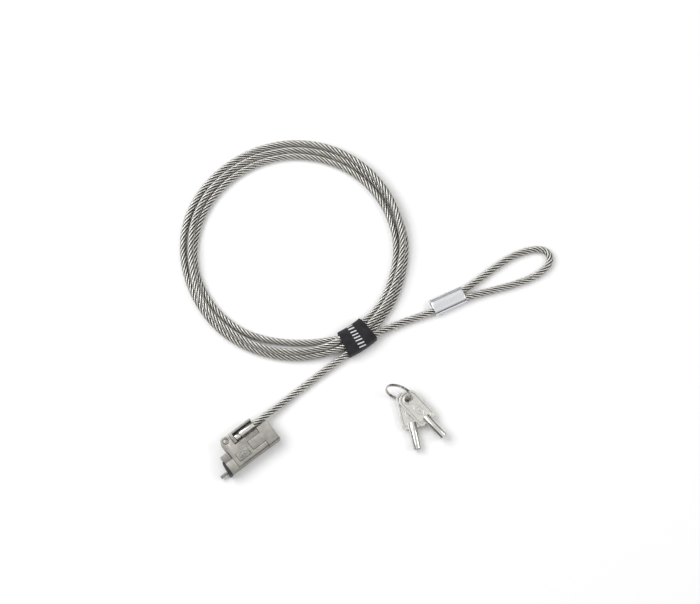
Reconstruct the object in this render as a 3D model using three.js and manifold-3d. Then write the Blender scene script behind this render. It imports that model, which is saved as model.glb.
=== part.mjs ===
// Laptop cable lock: a pivoting lock head with a key cylinder, a coiled steel cable
// with an end loop, a hook-and-loop strap and two tubular keys on a split ring.
//
// Frame: millimetres, +Z up, everything lies on the plane z = 0.
// +X runs along the lock head from its nose (-X) to its keyway (+X), and the origin is
// on the underside of the front housing, below the middle of the housing.
import * as THREE from 'three';
import { mergeVertices } from 'three/addons/utils/BufferGeometryUtils.js';
import Module from 'manifold-3d';

const wasm = await Module();
wasm.setup();

// ---------------------------------------------------------------- driving sizes
const GAP = 0.3;                 // gap between separate pieces that don't run on each other
const RUN = 0.1;                 // radial running clearance of shafts, pins and rivets
const FIT = 0.15;                // clearance of pieces that are set into each other
const OVER = 1;                  // how far a cut runs past the face it opens

// lock head
const HEAD_T = 11;               // thickness of both housings
const CHAMFER = 0.8;             // chamfer along the long edges of both housings
const FRONT_L = 15.1;            // closed part of the front housing
const FRONT_W = 15.8;
const RAIL_L = 10.8;             // the two rails behind it
const RAIL_W = FRONT_W / 3.95;
const RAIL_STEP = 0.5;           // the rail beside the cable is this much lower
const NOSE_L = 6.5;
const NOSE_W = FRONT_W / 1.95;
const NOSE_IN = 0.2;             // the nose starts this far in from the side of the housing
const NOSE_LOW = 0.4;            // and this far above its underside
const NOSE_TOP_IN = 0.3;         // and this far below its top
const BADGE_L = 9.6;             // raised panel on top of the front housing
const BADGE_W = 6.2;
const BADGE_BACK = 2.5;          // from the rear end of the closed part to the panel
const BADGE_OFF = 1.5;           // panel axis beside the lock axis
const BADGE_RISE = 0.25;
const REAR_L = 9.1;              // key cylinder block
const REAR_W = FRONT_W + 0.4;

// hinge between lock head and swivel arm
const PIVOT_AHEAD = 4.3;         // rivet axis ahead of the origin
const PIVOT_OUT = 5.0;           // rivet axis beyond the side of the front housing
const EAR_R = 3.9;
const EAR_T = 2.4;
const RIVET_R = 1.3;
const RIVET_HEAD_R = 2.0;
const RIVET_HEAD_T = 0.6;
const RIVET_SINK = 0.2;          // the lower head sits this deep in its countersink
const RIVET_PROUD = 0.05;        // the upper head stands this far out
const RIVET_EDGE = 0.25;         // chamfer of the upper head

// support foot and nose pad
const FOOT_LOW = 1.5;            // underside of the foot's plate
const FOOT_TOP_IN = 2.6;         // its top below the top of the housing
const FOOT_SIDE_IN = 1.1;        // its outer side in from the side of the housing
const TENON_IN = 1.25;           // the tenon is this much narrower than the plate on each side
const TENON_DEEP = 2.0;
const TENON_BELOW = 2.5;         // the tenon's underside and top, from the middle of the housing
const TENON_ABOVE = 1.1;
const PAD_BACK = 0.1;            // gap between pad and nose
const PAD_LOW_OUT = 0.5;         // how far the pad runs past the nose on either side
const PAD_HIGH_OUT = 2.4;
const PAD_TAPER = 0.2;
const PAD_Z_IN = 0.35;

// swivel arm and the cable's end fitting
const TONGUE_R = 3.6;
const WALL_T = 2.3;              // cross wall that holds the swivel stud
const WALL_BEHIND = 0.5;         // cross wall behind the ears
const ARM_H = HEAD_T - 1.6;      // height of the cross wall
const SIDE_T = 1.55;             // long side wall
const SIDE_H = HEAD_T - 3.2;
const SIDE_BEHIND = 1.6;         // the side wall starts behind the rivet axis
const ARM_CLEAR = 0.4;           // arm beside the front housing
const SLEEVE_WALL = 0.7;         // ferrule on the cable
const SLEEVE_L = 12.3;
const SLEEVE_INNER_GAP = 0.12;
const COLLAR_STEP = 0.2;         // the stud's collar is this much smaller than the ferrule
const COLLAR_EDGE = 0.3;
const STUD_L = 3.9;
const STUD_NECK_R = 1.5;
const STUD_HEAD_R = 2.1;
const STUD_HEAD_L = 1.5;
const STUD_HEAD_IN = 0.5;        // the stud's head bears this deep inside the cross wall
const STUD_SHANK_L = 1.9;

// key cylinder
const BARREL_R = 3.2;            // tubular key
const BARREL_BORE_R = BARREL_R - 1.05;
const KEYWAY_R = BARREL_R + 0.25;
const ROTOR_R = KEYWAY_R + 0.65;
const ROTOR_L = 2.4;
const POST_R = BARREL_BORE_R - 0.3;
const POST_IN = 0.4;             // the post's tip inside the mouth of the keyway
const POST_EDGE = 0.3;
const TAB_W = 1.0;               // rib on the post that fits the notch of the key
const TAB_L = 1.5;
const TAB_IN = 3.4;              // start of the rib, from the mouth of the keyway
const TAB_RISE = 0.35;
const SPINDLE_R = 1.2;
const SPINDLE_IN = 5.0;          // how far the spindle reaches into the cam drum
const FACE_RING_L = 1.2;
const FACE_RING_IN = 0.15;
const PIN_COUNT = 4;
const PIN_R = 0.45;
const PIN_CIRCLE_R = (BARREL_R + BARREL_BORE_R) / 2 - 0.055;
const KEY_PIN_L = 4.4;
const DRIVER_L = 1.35;
const PIN_SPRING_L = 3.3;
const PIN_SPRING_TURNS = 5;
const SPRING_WIRE_R = 0.09;
const SPRING_END = 0.2;          // free room at each end of a spring
const SPRING_STEPS = 6;          // steps in each of its turns
const CROSS_PIN_R = 0.8;
const CROSS_PIN_STOP = 0.8;      // wall between the cross pins and the spindle
const CROSS_PIN_BEHIND = 3.5;    // cross pins behind the closed part of the front housing

// locking tip
const TIP_OFF = 4.4;             // tip axis beside the lock axis
const CAM_R = 3.4;
const CAM_L = 8.2;
const CAM_IN = 0.35;             // the drum ends this far inside the front housing
const CAM_GROOVE = 1.1;
const GROOVE_CLEAR = 0.25;       // on each side of the peg
const GROOVE_STEPS = 18;
const TRAVEL = 4.0;              // stroke of the blocking pin over a quarter turn
const QUARTER = Math.PI / 2;
const PIN_BAR_W = 1.7;
const PIN_BAR_H = 1.5;
const PEG = 1.2;
const HOOK_W = 2.2;
const HOOK_H = 1.5;
const HOOK_REACH = 7.9;          // hook ahead of the nose face
const HOOK_ROOT = 4.6;
const BARB_L = 1.5;
const BARB_DROP = 1.0;
const BARB_UNDER = 0.4;
const PAD_THIN = 1.1;            // nose pad, a wedge
const PAD_THICK = 2.6;

// cable, coil, strap and loop
const CABLE_D = 5.0;
const CABLE_SIDES = 10;
const STRAP_X = 114.63;          // the cable's ends meet under the strap here
const STRAP_Y = 9.81;
const COIL_OUT_R = 84.2;
const COIL_TURNS = 3;
const STRAP_AT = -94;            // where the strap sits on the coil, in degrees
const STRAP_L = 22;
const STRAP_T = 1.1;
const STRAP_PEAK = 0.65;         // where the bulge is highest, from the outer flank inwards
const SQUEEZE_W = 0.77;          // the strap squeezes the turns to this share of their width
const SQUEEZE_H = 1.85;          // and piles the middle one up to this share of its height
const STRAP_RISE = CABLE_D * (SQUEEZE_H - 1) + FIT;  // how far the strap's top bulges over them
const SQUEEZE_NEAR = 0.17;       // the squeeze is full up to this angle from the strap, in radians
const SQUEEZE_FAR = 0.62;        // and gone from this one on
const TAIL_BOW = 0.5;            // the lock's length of cable bows out this much on its way to the strap
const LEAD_OUT = 21;             // it leaves the ferrule in line for this far
const LEAD_DROP = 1.3;
const BRIDGE = 13;               // how strongly the other length keeps its direction at both ends
const LOOP_L = 71.1;             // end loop beyond its sleeve
const LOOP_W = 14.9;             // its half width, before the taper towards the sleeve
const LOOP_TAPER = 1.8;
const LOOP_SLEEVE_L = 24.7;
const LOOP_SLEEVE_T = 0.85;
const LOOP_SLEEVE_X = 183.8;
const LOOP_SLEEVE_Y = -1.7;
const LOOP_SLEEVE_TURN = -12.6;

// keys
const KEY_LENGTH = 42.3;
const BOW_L = 27.1;
const BOW_W = 14.2;
const BOW_T = 1.9;
const BOW_RIM = 1.4;
const BOW_RECESS = 0.35;
const BOW_FOOT_R = 2.4;          // rounded corners where the barrel is
const BOW_SHOULDER = 5.2;        // length of the rounded end with the hole
const BOSS_W = 1.1;              // ring round the hole
const BOSS_IN = 0.1;
const KEY_HOLE_BACK = 6.0;       // key ring hole, from the end of the bow
const KEY_HOLE_R = 2.75;
const SEAT_IN = 0.8;             // the bow reaches this far into the barrel's sides
const FLUTE_AT = 1.35;           // flute along the barrel
const FLUTE_W = 0.55;
const FLUTE_DEEP = 0.75;
const NOTCH_L = 2.2;             // notch in the barrel's rim for the rib in the keyway
const NOTCH_W = 1.4;
const BARREL_SEAT = 3.8;         // how far the barrel is set into the bow
const KEY_LIFT = 0.6;            // the split ring below them keeps the keys off the table
const RING_R = 9.3;
const RING_WIRE_T = 1.0;
const RING_WIRE_W = 0.95;
const RING_EDGE = 0.25;
const RING_GROOVE = 0.3;         // groove between the two turns
const RING_SPLIT = 0.4;          // cut between the ends of a turn
const RING_END_AT = 3.0;         // place of the lower turn's cut
const KEY_A = { x: 117.0, y: -41.3, turn: -84.6 };
const KEY_B = { x: 115.75, y: -40.15 };
const RING = { x: 113.9, y: -33.7, turn: -57.7, tilt: 72 };

// ---------------------------------------------------------------- derived places
const midZ = HEAD_T / 2;
const frontX = FRONT_L / 2;                          // rear end of the closed front housing
const sideY = FRONT_W / 2;
const railEndX = frontX + RAIL_L;
const blockX = railEndX + GAP;                       // front face of the key cylinder block
const rearX = blockX + REAR_L;
const noseX = -frontX - NOSE_L;
const noseLowY = -sideY + NOSE_IN;
const noseHighY = noseLowY + NOSE_W;
const stemHalfW = sideY - RAIL_W - GAP;
const pivotX = -PIVOT_AHEAD;
const pivotY = sideY + PIVOT_OUT;
const wallX = pivotX + EAR_R + WALL_BEHIND;
const wallEndX = wallX + WALL_T;
const cableR = CABLE_D / 2;
const sleeveR = cableR + SLEEVE_WALL;
const collarR = sleeveR - COLLAR_STEP;
const cableY = sideY + GAP + sleeveR + RUN / 2;
const sideWallY = cableY + sleeveR + GAP;
const armLowY = sideY + ARM_CLEAR;
const armTopY = sideWallY + SIDE_T;
const studX = wallEndX + GAP;
const sleeveX = studX + STUD_L + GAP;
const sleeveEndX = sleeveX + SLEEVE_L;
const chamberR = ROTOR_R + FIT;
const rotorX = blockX + GAP;
const camX = frontX - CAM_IN - CAM_L;
const pegX = camX + CAM_L / 2 + TRAVEL / 2 - PEG / 2;
const springX = blockX - DRIVER_L - GAP / 2 - PIN_SPRING_L;
const camCavityR = CAM_R + GAP;
const barY = -TIP_OFF;
const hookTop = midZ - PIN_BAR_H / 2 - GAP;
const padX = noseX - PAD_BACK;
const coilInR = COIL_OUT_R - COIL_TURNS * CABLE_D;
const laneR = COIL_OUT_R + GAP + cableR;             // the cable's ends pass the coil here
const strapLift = STRAP_T + GAP;
const strapAt = THREE.MathUtils.degToRad(STRAP_AT);
const coilX = STRAP_X - laneR * Math.cos(strapAt);
const coilY = STRAP_Y - laneR * Math.sin(strapAt);
const laneZ = strapLift + cableR;
const tableZ = cableR + RUN / 2;                     // cable that lies on the table
const splitDegrees = THREE.MathUtils.radToDeg(GAP / 2 / laneR);
const sleeveTurn = THREE.MathUtils.degToRad(LOOP_SLEEVE_TURN);
const sleeveLane = cableR + FIT;                     // the loop's two ends, from the sleeve's axis
const sleeveMidZ = sleeveLane + LOOP_SLEEVE_T;
const bowFootX = BOW_L - KEY_HOLE_BACK;
const barrelX = bowFootX - BARREL_SEAT;
const barrelEndX = KEY_LENGTH - KEY_HOLE_BACK;
const seatHalfW = BARREL_R - SEAT_IN;
const keyATurn = THREE.MathUtils.degToRad(KEY_A.turn);
const keyBSide = (KEY_B.x - KEY_A.x) * Math.sin(keyATurn) - (KEY_B.y - KEY_A.y) * Math.cos(keyATurn);
const keySpread = Math.atan2(BARREL_R, barrelX)      // key B's barrel lies just beside key A's bow
  + Math.asin((BOW_W / 2 - keyBSide) / Math.hypot(BARREL_R, barrelX));

// ---------------------------------------------------------------- helpers
function toSolid(geometry) {
  const plain = geometry.index ? geometry.toNonIndexed() : geometry.clone();
  plain.deleteAttribute('normal');
  plain.deleteAttribute('uv');
  const merged = mergeVertices(plain, 1e-4);
  return new wasm.Manifold(new wasm.Mesh({
    numProp: 3,
    vertProperties: new Float32Array(merged.attributes.position.array),
    triVerts: new Uint32Array(merged.index.array),
  }));
}

function toGeometry(solid) {
  const mesh = solid.getMesh();
  const geometry = new THREE.BufferGeometry();
  geometry.setAttribute('position', new THREE.BufferAttribute(mesh.vertProperties, 3));
  geometry.setIndex(new THREE.BufferAttribute(mesh.triVerts, 1));
  return geometry;
}

function box(x0, x1, y0, y1, z0, z1) {
  const geometry = new THREE.BoxGeometry(x1 - x0, y1 - y0, z1 - z0);
  geometry.translate((x0 + x1) / 2, (y0 + y1) / 2, (z0 + z1) / 2);
  return toSolid(geometry);
}

// Cylinder along X, Y or Z through a point, from a to b on that axis.
function cylinder(axis, radius, a, b, u, v, segments = 28) {
  const geometry = new THREE.CylinderGeometry(radius, radius, b - a, segments);
  if (axis === 'x') geometry.rotateZ(-Math.PI / 2).translate((a + b) / 2, u, v);
  if (axis === 'y') geometry.translate(u, (a + b) / 2, v);
  if (axis === 'z') geometry.rotateX(Math.PI / 2).translate(u, v, (a + b) / 2);
  return toSolid(geometry);
}

// Prism on an outline in the XY plane.
function prism(shape, z0, z1, curveSegments = 16) {
  const geometry = new THREE.ExtrudeGeometry(shape, { depth: z1 - z0, bevelEnabled: false, curveSegments });
  geometry.translate(0, 0, z0);
  return toSolid(geometry);
}

// Box with chamfered edges along X.
function chamferedBlock(x0, x1, halfW, height, chamfer) {
  const shape = new THREE.Shape();
  shape.moveTo(-halfW + chamfer, 0);
  shape.lineTo(halfW - chamfer, 0);
  shape.lineTo(halfW, chamfer);
  shape.lineTo(halfW, height - chamfer);
  shape.lineTo(halfW - chamfer, height);
  shape.lineTo(-halfW + chamfer, height);
  shape.lineTo(-halfW, height - chamfer);
  shape.lineTo(-halfW, chamfer);
  const geometry = new THREE.ExtrudeGeometry(shape, { depth: x1 - x0, bevelEnabled: false });
  const axes = new THREE.Matrix4().makeBasis(
    new THREE.Vector3(0, 1, 0), new THREE.Vector3(0, 0, 1), new THREE.Vector3(1, 0, 0));
  geometry.applyMatrix4(axes).translate(x0, 0, 0);
  return toSolid(geometry);
}

// Body of revolution about an axis along X or Z; the profile is [radius, place on the axis].
function turned(axis, profile, u, v, segments = 28) {
  const points = profile.map(([r, s]) => new THREE.Vector2(r, s));
  const geometry = new THREE.LatheGeometry(points, segments);
  if (axis === 'x') geometry.rotateZ(-Math.PI / 2).translate(0, u, v);
  if (axis === 'z') geometry.rotateX(Math.PI / 2).translate(u, v, 0);
  return toSolid(geometry);
}

function unite(solids) {
  return solids.reduce((sum, solid) => sum.add(solid));
}

const part = new THREE.Group();
part.name = 'laptop_cable_lock';

const MATERIALS = {
  nickel: { color: 0xaca89f, roughness: 0.42, metalness: 1 },
  nickel_dark: { color: 0x8d8a83, roughness: 0.5, metalness: 1 },
  bright_nickel: { color: 0xd9d6cf, roughness: 0.22, metalness: 1 },
  steel: { color: 0x83807a, roughness: 0.35, metalness: 1 },
  cable: { color: 0x96928a, roughness: 0.35, metalness: 0.9 },
  aluminium: { color: 0xc6c9cd, roughness: 0.3, metalness: 1 },
  brass: { color: 0xc2a35c, roughness: 0.35, metalness: 1 },
  rubber: { color: 0x161616, roughness: 0.8, metalness: 0 },
  fabric: { color: 0x2d2c32, roughness: 0.95, metalness: 0 },
};

function place(name, shape, material, parent = part) {
  const geometry = shape.isBufferGeometry ? shape : toGeometry(shape);
  const mesh = new THREE.Mesh(geometry, new THREE.MeshStandardMaterial(MATERIALS[material]));
  mesh.name = name;
  parent.add(mesh);
  return mesh;
}

// ---------------------------------------------------------------- front housing
function earOutline(radius) {
  const shape = new THREE.Shape();
  shape.moveTo(pivotX - radius, sideY - OVER);
  shape.lineTo(pivotX + radius, sideY - OVER);
  shape.lineTo(pivotX + radius, pivotY);
  shape.absarc(pivotX, pivotY, radius, 0, Math.PI, false);
  return shape;
}

function ears() {
  const lower = prism(earOutline(EAR_R), 0, EAR_T);
  const upper = prism(earOutline(EAR_R), HEAD_T - EAR_T, HEAD_T);
  return lower.add(upper);
}

// Upright cut round the rivet's axis.
function pivotCut(radius, z0 = -OVER, z1 = HEAD_T + OVER) {
  return cylinder('z', radius, z0, z1, pivotX, pivotY, 36);
}

function rivetHoles() {
  const sinkR = RIVET_HEAD_R + RIVET_SINK;
  const lowSink = pivotCut(sinkR, -OVER, RIVET_HEAD_T + GAP);
  const highSink = pivotCut(sinkR, HEAD_T - RIVET_HEAD_T - GAP);
  return unite([pivotCut(RIVET_R + RUN), lowSink, highSink]);
}

// Bar along X on the axis of the tip.
function tipBar(x0, x1, width, z0, z1) {
  return box(x0, x1, barY - width / 2, barY + width / 2, z0, z1);
}

function tipChannels() {
  const bar = tipBar(noseX - OVER, frontX + OVER, PIN_BAR_W + 2 * GROOVE_CLEAR,
    midZ - PIN_BAR_H / 2 - 2 * RUN, midZ + PIN_BAR_H / 2 + 2 * RUN);
  const hookBar = tipBar(noseX - OVER, noseX + HOOK_ROOT + 2 * RUN, HOOK_W + GAP, hookTop - HOOK_H - 2 * RUN, midZ);
  return bar.add(hookBar);
}

const footLowY = noseHighY + GAP;
const footHighY = sideY - FOOT_SIDE_IN;

function tenon(clearance) {
  return box(-frontX - OVER, -frontX + TENON_DEEP + clearance,
    footLowY + TENON_IN - clearance, footHighY - TENON_IN + clearance,
    midZ - TENON_BELOW - clearance, midZ + TENON_ABOVE + clearance);
}

function crossPinHole(side) {
  const inner = side * (SPINDLE_R + CROSS_PIN_STOP);
  const outer = side * (sideY + OVER);
  return cylinder('y', CROSS_PIN_R + RUN, Math.min(inner, outer), Math.max(inner, outer),
    frontX + CROSS_PIN_BEHIND, midZ, 20);
}

function frontHousing() {
  const body = chamferedBlock(-frontX, frontX, sideY, HEAD_T, CHAMFER);
  const fork = chamferedBlock(frontX, railEndX, sideY, HEAD_T, CHAMFER)
    .subtract(box(frontX - OVER, railEndX + OVER, -sideY + RAIL_W, sideY - RAIL_W, -OVER, HEAD_T + OVER))
    .subtract(box(frontX + GAP, railEndX + OVER, sideY - RAIL_W - OVER, sideY - CHAMFER,
      HEAD_T - RAIL_STEP, HEAD_T + OVER));
  const nose = box(noseX, -frontX + OVER, noseLowY, noseHighY, NOSE_LOW, HEAD_T - NOSE_TOP_IN);
  const badgeX = frontX - BADGE_BACK;
  const badge = box(badgeX - BADGE_L, badgeX, -BADGE_OFF - BADGE_W / 2, -BADGE_OFF + BADGE_W / 2,
    HEAD_T - OVER, HEAD_T + BADGE_RISE);
  const camCavity = cylinder('x', camCavityR, camX - GAP, frontX + OVER, 0, midZ, 36);
  const cuts = [rivetHoles(), camCavity, tipChannels(), tenon(FIT), crossPinHole(1), crossPinHole(-1)];
  return unite([body, fork, nose, badge, ears()]).subtract(unite(cuts));
}

function supportFoot() {
  const plate = box(noseX, -frontX - GAP, footLowY, footHighY, FOOT_LOW, HEAD_T - FOOT_TOP_IN);
  return plate.add(tenon(0));
}

function nosePad() {
  const shape = new THREE.Shape();
  shape.moveTo(padX, noseLowY - PAD_LOW_OUT);
  shape.lineTo(padX, noseHighY + PAD_HIGH_OUT);
  shape.lineTo(padX - PAD_THIN, noseHighY + PAD_HIGH_OUT - PAD_TAPER);
  shape.lineTo(padX - PAD_THICK, noseLowY - PAD_LOW_OUT + PAD_TAPER);
  const slot = tipBar(padX - PAD_THICK - OVER, padX + OVER, HOOK_W + 2 * FIT + RUN * 4,
    hookTop - HOOK_H - BARB_DROP - 2 * RUN, midZ + PIN_BAR_H / 2 + 2 * GAP);
  return prism(shape, PAD_Z_IN, HEAD_T - PAD_Z_IN).subtract(slot);
}

function hook() {
  const endX = noseX - HOOK_REACH;
  const bar = tipBar(endX, noseX + HOOK_ROOT, HOOK_W, hookTop - HOOK_H, hookTop);
  const barb = tipBar(endX, endX + BARB_L, HOOK_W, hookTop - HOOK_H - BARB_DROP, hookTop - BARB_UNDER);
  return bar.add(barb);
}

function hingeRivet() {
  const low = RIVET_SINK;
  const high = HEAD_T + RIVET_PROUD;
  return turned('z', [
    [0, high], [RIVET_HEAD_R - 2 * RIVET_EDGE, high], [RIVET_HEAD_R, high - RIVET_EDGE],
    [RIVET_HEAD_R, high - RIVET_HEAD_T],
    [RIVET_R, high - RIVET_HEAD_T], [RIVET_R, low + RIVET_HEAD_T], [RIVET_HEAD_R, low + RIVET_HEAD_T],
    [RIVET_HEAD_R, low], [0, low],
  ].reverse(), pivotX, pivotY);
}

// ---------------------------------------------------------------- rear housing and key cylinder
function pinPlaces() {
  return Array.from({ length: PIN_COUNT }, (_, i) => {
    const angle = (i + 0.5) * 2 * Math.PI / PIN_COUNT;
    return [PIN_CIRCLE_R * Math.cos(angle), midZ + PIN_CIRCLE_R * Math.sin(angle)];
  });
}

function rearHousing() {
  const block = chamferedBlock(blockX, rearX, REAR_W / 2, HEAD_T, CHAMFER);
  const stem = box(frontX + GAP, blockX + OVER, -stemHalfW, stemHalfW, 0, HEAD_T);
  const chamber = cylinder('x', chamberR, blockX, rearX + OVER, 0, midZ, 40);
  const spindleBore = cylinder('x', SPINDLE_R + RUN, frontX - OVER, blockX + OVER, 0, midZ);
  const driverBores = pinPlaces().map(([y, z]) =>
    cylinder('x', PIN_R + FIT, springX - SPRING_END, blockX + OVER, y, z, 16));
  return block.add(stem).subtract(unite([chamber, spindleBore, ...driverBores, crossPinHole(1), crossPinHole(-1)]));
}

function faceRing() {
  const outerR = chamberR - RUN;
  const outX = rearX - FACE_RING_IN;
  const inX = outX - FACE_RING_L;
  return turned('x', [
    [KEYWAY_R, inX], [outerR, inX], [outerR, outX], [KEYWAY_R, outX], [KEYWAY_R, inX],
  ], 0, midZ, 40);
}

function rotor() {
  const spindleX = camX + CAM_L - SPINDLE_IN;
  const tipX = rearX - POST_IN;
  const body = turned('x', [
    [0, spindleX], [SPINDLE_R, spindleX], [SPINDLE_R, rotorX], [ROTOR_R, rotorX],
    [ROTOR_R, rotorX + ROTOR_L], [POST_R, rotorX + ROTOR_L], [POST_R, tipX - POST_EDGE],
    [POST_R - POST_EDGE, tipX], [0, tipX],
  ], 0, midZ, 40);
  const tab = box(rearX - TAB_IN, rearX - TAB_IN + TAB_L, -TAB_W / 2, TAB_W / 2,
    midZ + POST_R - TAB_W / 2, midZ + POST_R + TAB_RISE);
  const holes = pinPlaces().map(([y, z]) =>
    cylinder('x', PIN_R + RUN / 2, rotorX - OVER, rotorX + ROTOR_L + OVER, y, z, 16));
  return body.add(tab).subtract(unite(holes));
}

function pinSpring(y, z) {
  const coilR = PIN_R - SPRING_WIRE_R - GAP / 10;
  const steps = PIN_SPRING_TURNS * SPRING_STEPS;
  const points = [];
  for (let i = 0; i <= steps; i += 1) {
    const angle = i * 2 * Math.PI / SPRING_STEPS;
    const along = SPRING_END + (PIN_SPRING_L - 2 * SPRING_END) * i / steps;
    points.push(new THREE.Vector3(springX + along, y + coilR * Math.cos(angle), z + coilR * Math.sin(angle)));
  }
  const section = new THREE.Shape();
  section.absarc(0, 0, SPRING_WIRE_R, 0, 2 * Math.PI, false);
  return new THREE.ExtrudeGeometry(section, {
    steps, extrudePath: new THREE.CatmullRomCurve3(points), curveSegments: 2,
  });
}

function camDrum() {
  const drum = cylinder('x', CAM_R, camX, camX + CAM_L, 0, midZ, 40);
  const bore = cylinder('x', SPINDLE_R + RUN, camX + CAM_L - SPINDLE_IN - GAP, camX + CAM_L + OVER, 0, midZ);
  const cutW = PEG + 2 * GROOVE_CLEAR;
  const cuts = [];
  for (let i = 0; i <= GROOVE_STEPS; i += 1) {
    const share = i / GROOVE_STEPS;
    const geometry = new THREE.BoxGeometry(cutW, CAM_R, cutW);
    geometry.translate(pegX + PEG / 2 - TRAVEL * share, -CAM_R / 2 - CAM_R + CAM_GROOVE, 0);
    geometry.rotateX(-QUARTER * share).translate(0, 0, midZ);
    cuts.push(toSolid(geometry));
  }
  return drum.subtract(unite([bore, ...cuts]));
}

function blockingPin() {
  const bar = tipBar(padX - PAD_THICK - RUN, pegX + PEG, PIN_BAR_W, midZ - PIN_BAR_H / 2, midZ + PIN_BAR_H / 2);
  const peg = box(pegX, pegX + PEG, barY, -CAM_R + CAM_GROOVE - GAP, midZ - PEG / 2, midZ + PEG / 2);
  return bar.add(peg);
}

function crossPin(side) {
  const inner = side * (SPINDLE_R + CROSS_PIN_STOP + GAP);
  const outer = side * (sideY - FIT);
  return cylinder('y', CROSS_PIN_R, Math.min(inner, outer), Math.max(inner, outer),
    frontX + CROSS_PIN_BEHIND, midZ, 20);
}

// ---------------------------------------------------------------- swivel arm and end fitting
const headEndX = wallX + STUD_HEAD_IN;

// Slot round the swivel stud that is open downwards, so that the stud can be hung in.
function studSlot(radius, x0, x1) {
  return cylinder('x', radius, x0, x1, cableY, midZ).add(box(x0, x1, cableY - radius, cableY + radius, -OVER, midZ));
}

function swivelArm() {
  const earCornerR = Math.hypot(EAR_R, PIVOT_OUT) + GAP;       // what the ears' roots sweep
  const tongue = new THREE.Shape();
  tongue.moveTo(pivotX, pivotY - TONGUE_R);
  tongue.lineTo(pivotX + OVER, armLowY);
  tongue.lineTo(wallX + OVER, armLowY);
  tongue.lineTo(wallX + OVER, armTopY);
  tongue.lineTo(pivotX, pivotY + TONGUE_R);
  tongue.absarc(pivotX, pivotY, TONGUE_R, Math.PI / 2, Math.PI * 1.5, false);
  const tongueSolid = prism(tongue, EAR_T + GAP, HEAD_T - EAR_T - GAP);
  const wall = box(wallX, wallEndX, armLowY, armTopY, midZ - ARM_H / 2, midZ + ARM_H / 2);
  const sweep = [
    pivotCut(EAR_R + GAP),
    pivotCut(earCornerR, -OVER, EAR_T + GAP),
    pivotCut(earCornerR, HEAD_T - EAR_T - GAP),
  ];
  const side = box(pivotX + SIDE_BEHIND, sleeveEndX, sideWallY, armTopY, midZ - SIDE_H / 2, midZ + SIDE_H / 2)
    .subtract(unite(sweep));
  const pocket = studSlot(STUD_HEAD_R + 2 * RUN, headEndX - STUD_HEAD_L - 2 * GAP, headEndX);
  const slot = studSlot(STUD_NECK_R + RUN, headEndX - OVER / 2, wallEndX + OVER);
  return unite([tongueSolid, wall, side]).subtract(unite([pocket, slot, pivotCut(RIVET_R + RUN)]));
}

function swivelStud() {
  const headX = headEndX - STUD_HEAD_L - GAP;
  const shankR = cableR - RUN;
  return turned('x', [
    [0, headX], [STUD_HEAD_R, headX], [STUD_HEAD_R, headX + STUD_HEAD_L], [STUD_NECK_R, headX + STUD_HEAD_L],
    [STUD_NECK_R, studX], [collarR - COLLAR_EDGE, studX], [collarR, studX + COLLAR_EDGE],
    [collarR, studX + STUD_L], [shankR, studX + STUD_L], [shankR, sleeveX + STUD_SHANK_L],
    [0, sleeveX + STUD_SHANK_L],
  ], cableY, midZ, 32);
}

function cableSleeve() {
  const inner = cableR + SLEEVE_INNER_GAP;
  return turned('x', [
    [inner, sleeveX], [sleeveR - COLLAR_EDGE, sleeveX], [sleeveR, sleeveX + COLLAR_EDGE],
    [sleeveR, sleeveEndX - COLLAR_EDGE], [sleeveR - COLLAR_EDGE, sleeveEndX], [inner, sleeveEndX],
    [inner, sleeveX],
  ], cableY, midZ, 32);
}

// ---------------------------------------------------------------- cable
function tube(points, steps, radius = cableR) {
  const section = new THREE.Shape();
  for (let i = 0; i < CABLE_SIDES; i += 1) {
    const angle = (i + 0.5) * 2 * Math.PI / CABLE_SIDES;
    if (i === 0) section.moveTo(radius * Math.cos(angle), radius * Math.sin(angle));
    else section.lineTo(radius * Math.cos(angle), radius * Math.sin(angle));
  }
  const path = new THREE.CatmullRomCurve3(points.map((p) => new THREE.Vector3(...p)), false, 'centripetal');
  return new THREE.ExtrudeGeometry(section, { steps, extrudePath: path });
}

// How strongly the strap acts on the coil at an angle: 1 under the strap, 0 away from it.
function strapPull(angle) {
  const away = Math.abs(Math.atan2(Math.sin(angle - strapAt), Math.cos(angle - strapAt)));
  return 1 - THREE.MathUtils.smoothstep(away, SQUEEZE_NEAR, SQUEEZE_FAR);
}

function coil() {
  const profile = [];
  const bulge = [45, 90, 135];
  const laneCentre = (k) => COIL_OUT_R - cableR - k * CABLE_D;
  const point = (k, degrees) => {
    const angle = THREE.MathUtils.degToRad(degrees);
    profile.push(new THREE.Vector2(laneCentre(k) + cableR * Math.cos(angle), cableR + cableR * Math.sin(angle)));
  };
  point(COIL_TURNS - 1, 180);
  for (let k = COIL_TURNS - 1; k >= 0; k -= 1) bulge.forEach((degrees) => point(k, 180 + degrees));
  point(0, 0);
  for (let k = 0; k < COIL_TURNS; k += 1) bulge.forEach((degrees) => point(k, degrees));
  profile.push(profile[0].clone());
  const ring = new THREE.LatheGeometry(profile, 54);
  ring.rotateX(Math.PI / 2);
  const position = ring.attributes.position;
  for (let i = 0; i < position.count; i += 1) {
    const x = position.getX(i);
    const y = position.getY(i);
    const pull = strapPull(Math.atan2(y, x));
    const radius = Math.hypot(x, y);
    const squeezed = COIL_OUT_R - (COIL_OUT_R - radius) * (1 - (1 - SQUEEZE_W) * pull);
    const pile = Math.sin(Math.PI * THREE.MathUtils.clamp((COIL_OUT_R - radius) / (COIL_OUT_R - coilInR), 0, 1));
    const height = position.getZ(i) * (1 + (SQUEEZE_H - 1) * pull * pile) + strapLift * pull;
    position.setXYZ(i, coilX + x * squeezed / radius, coilY + y * squeezed / radius, height);
  }
  return toSolid(ring);
}

function onCoil(radius, degrees, z) {
  const angle = THREE.MathUtils.degToRad(degrees);
  return [coilX + radius * Math.cos(angle), coilY + radius * Math.sin(angle), z];
}

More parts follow.
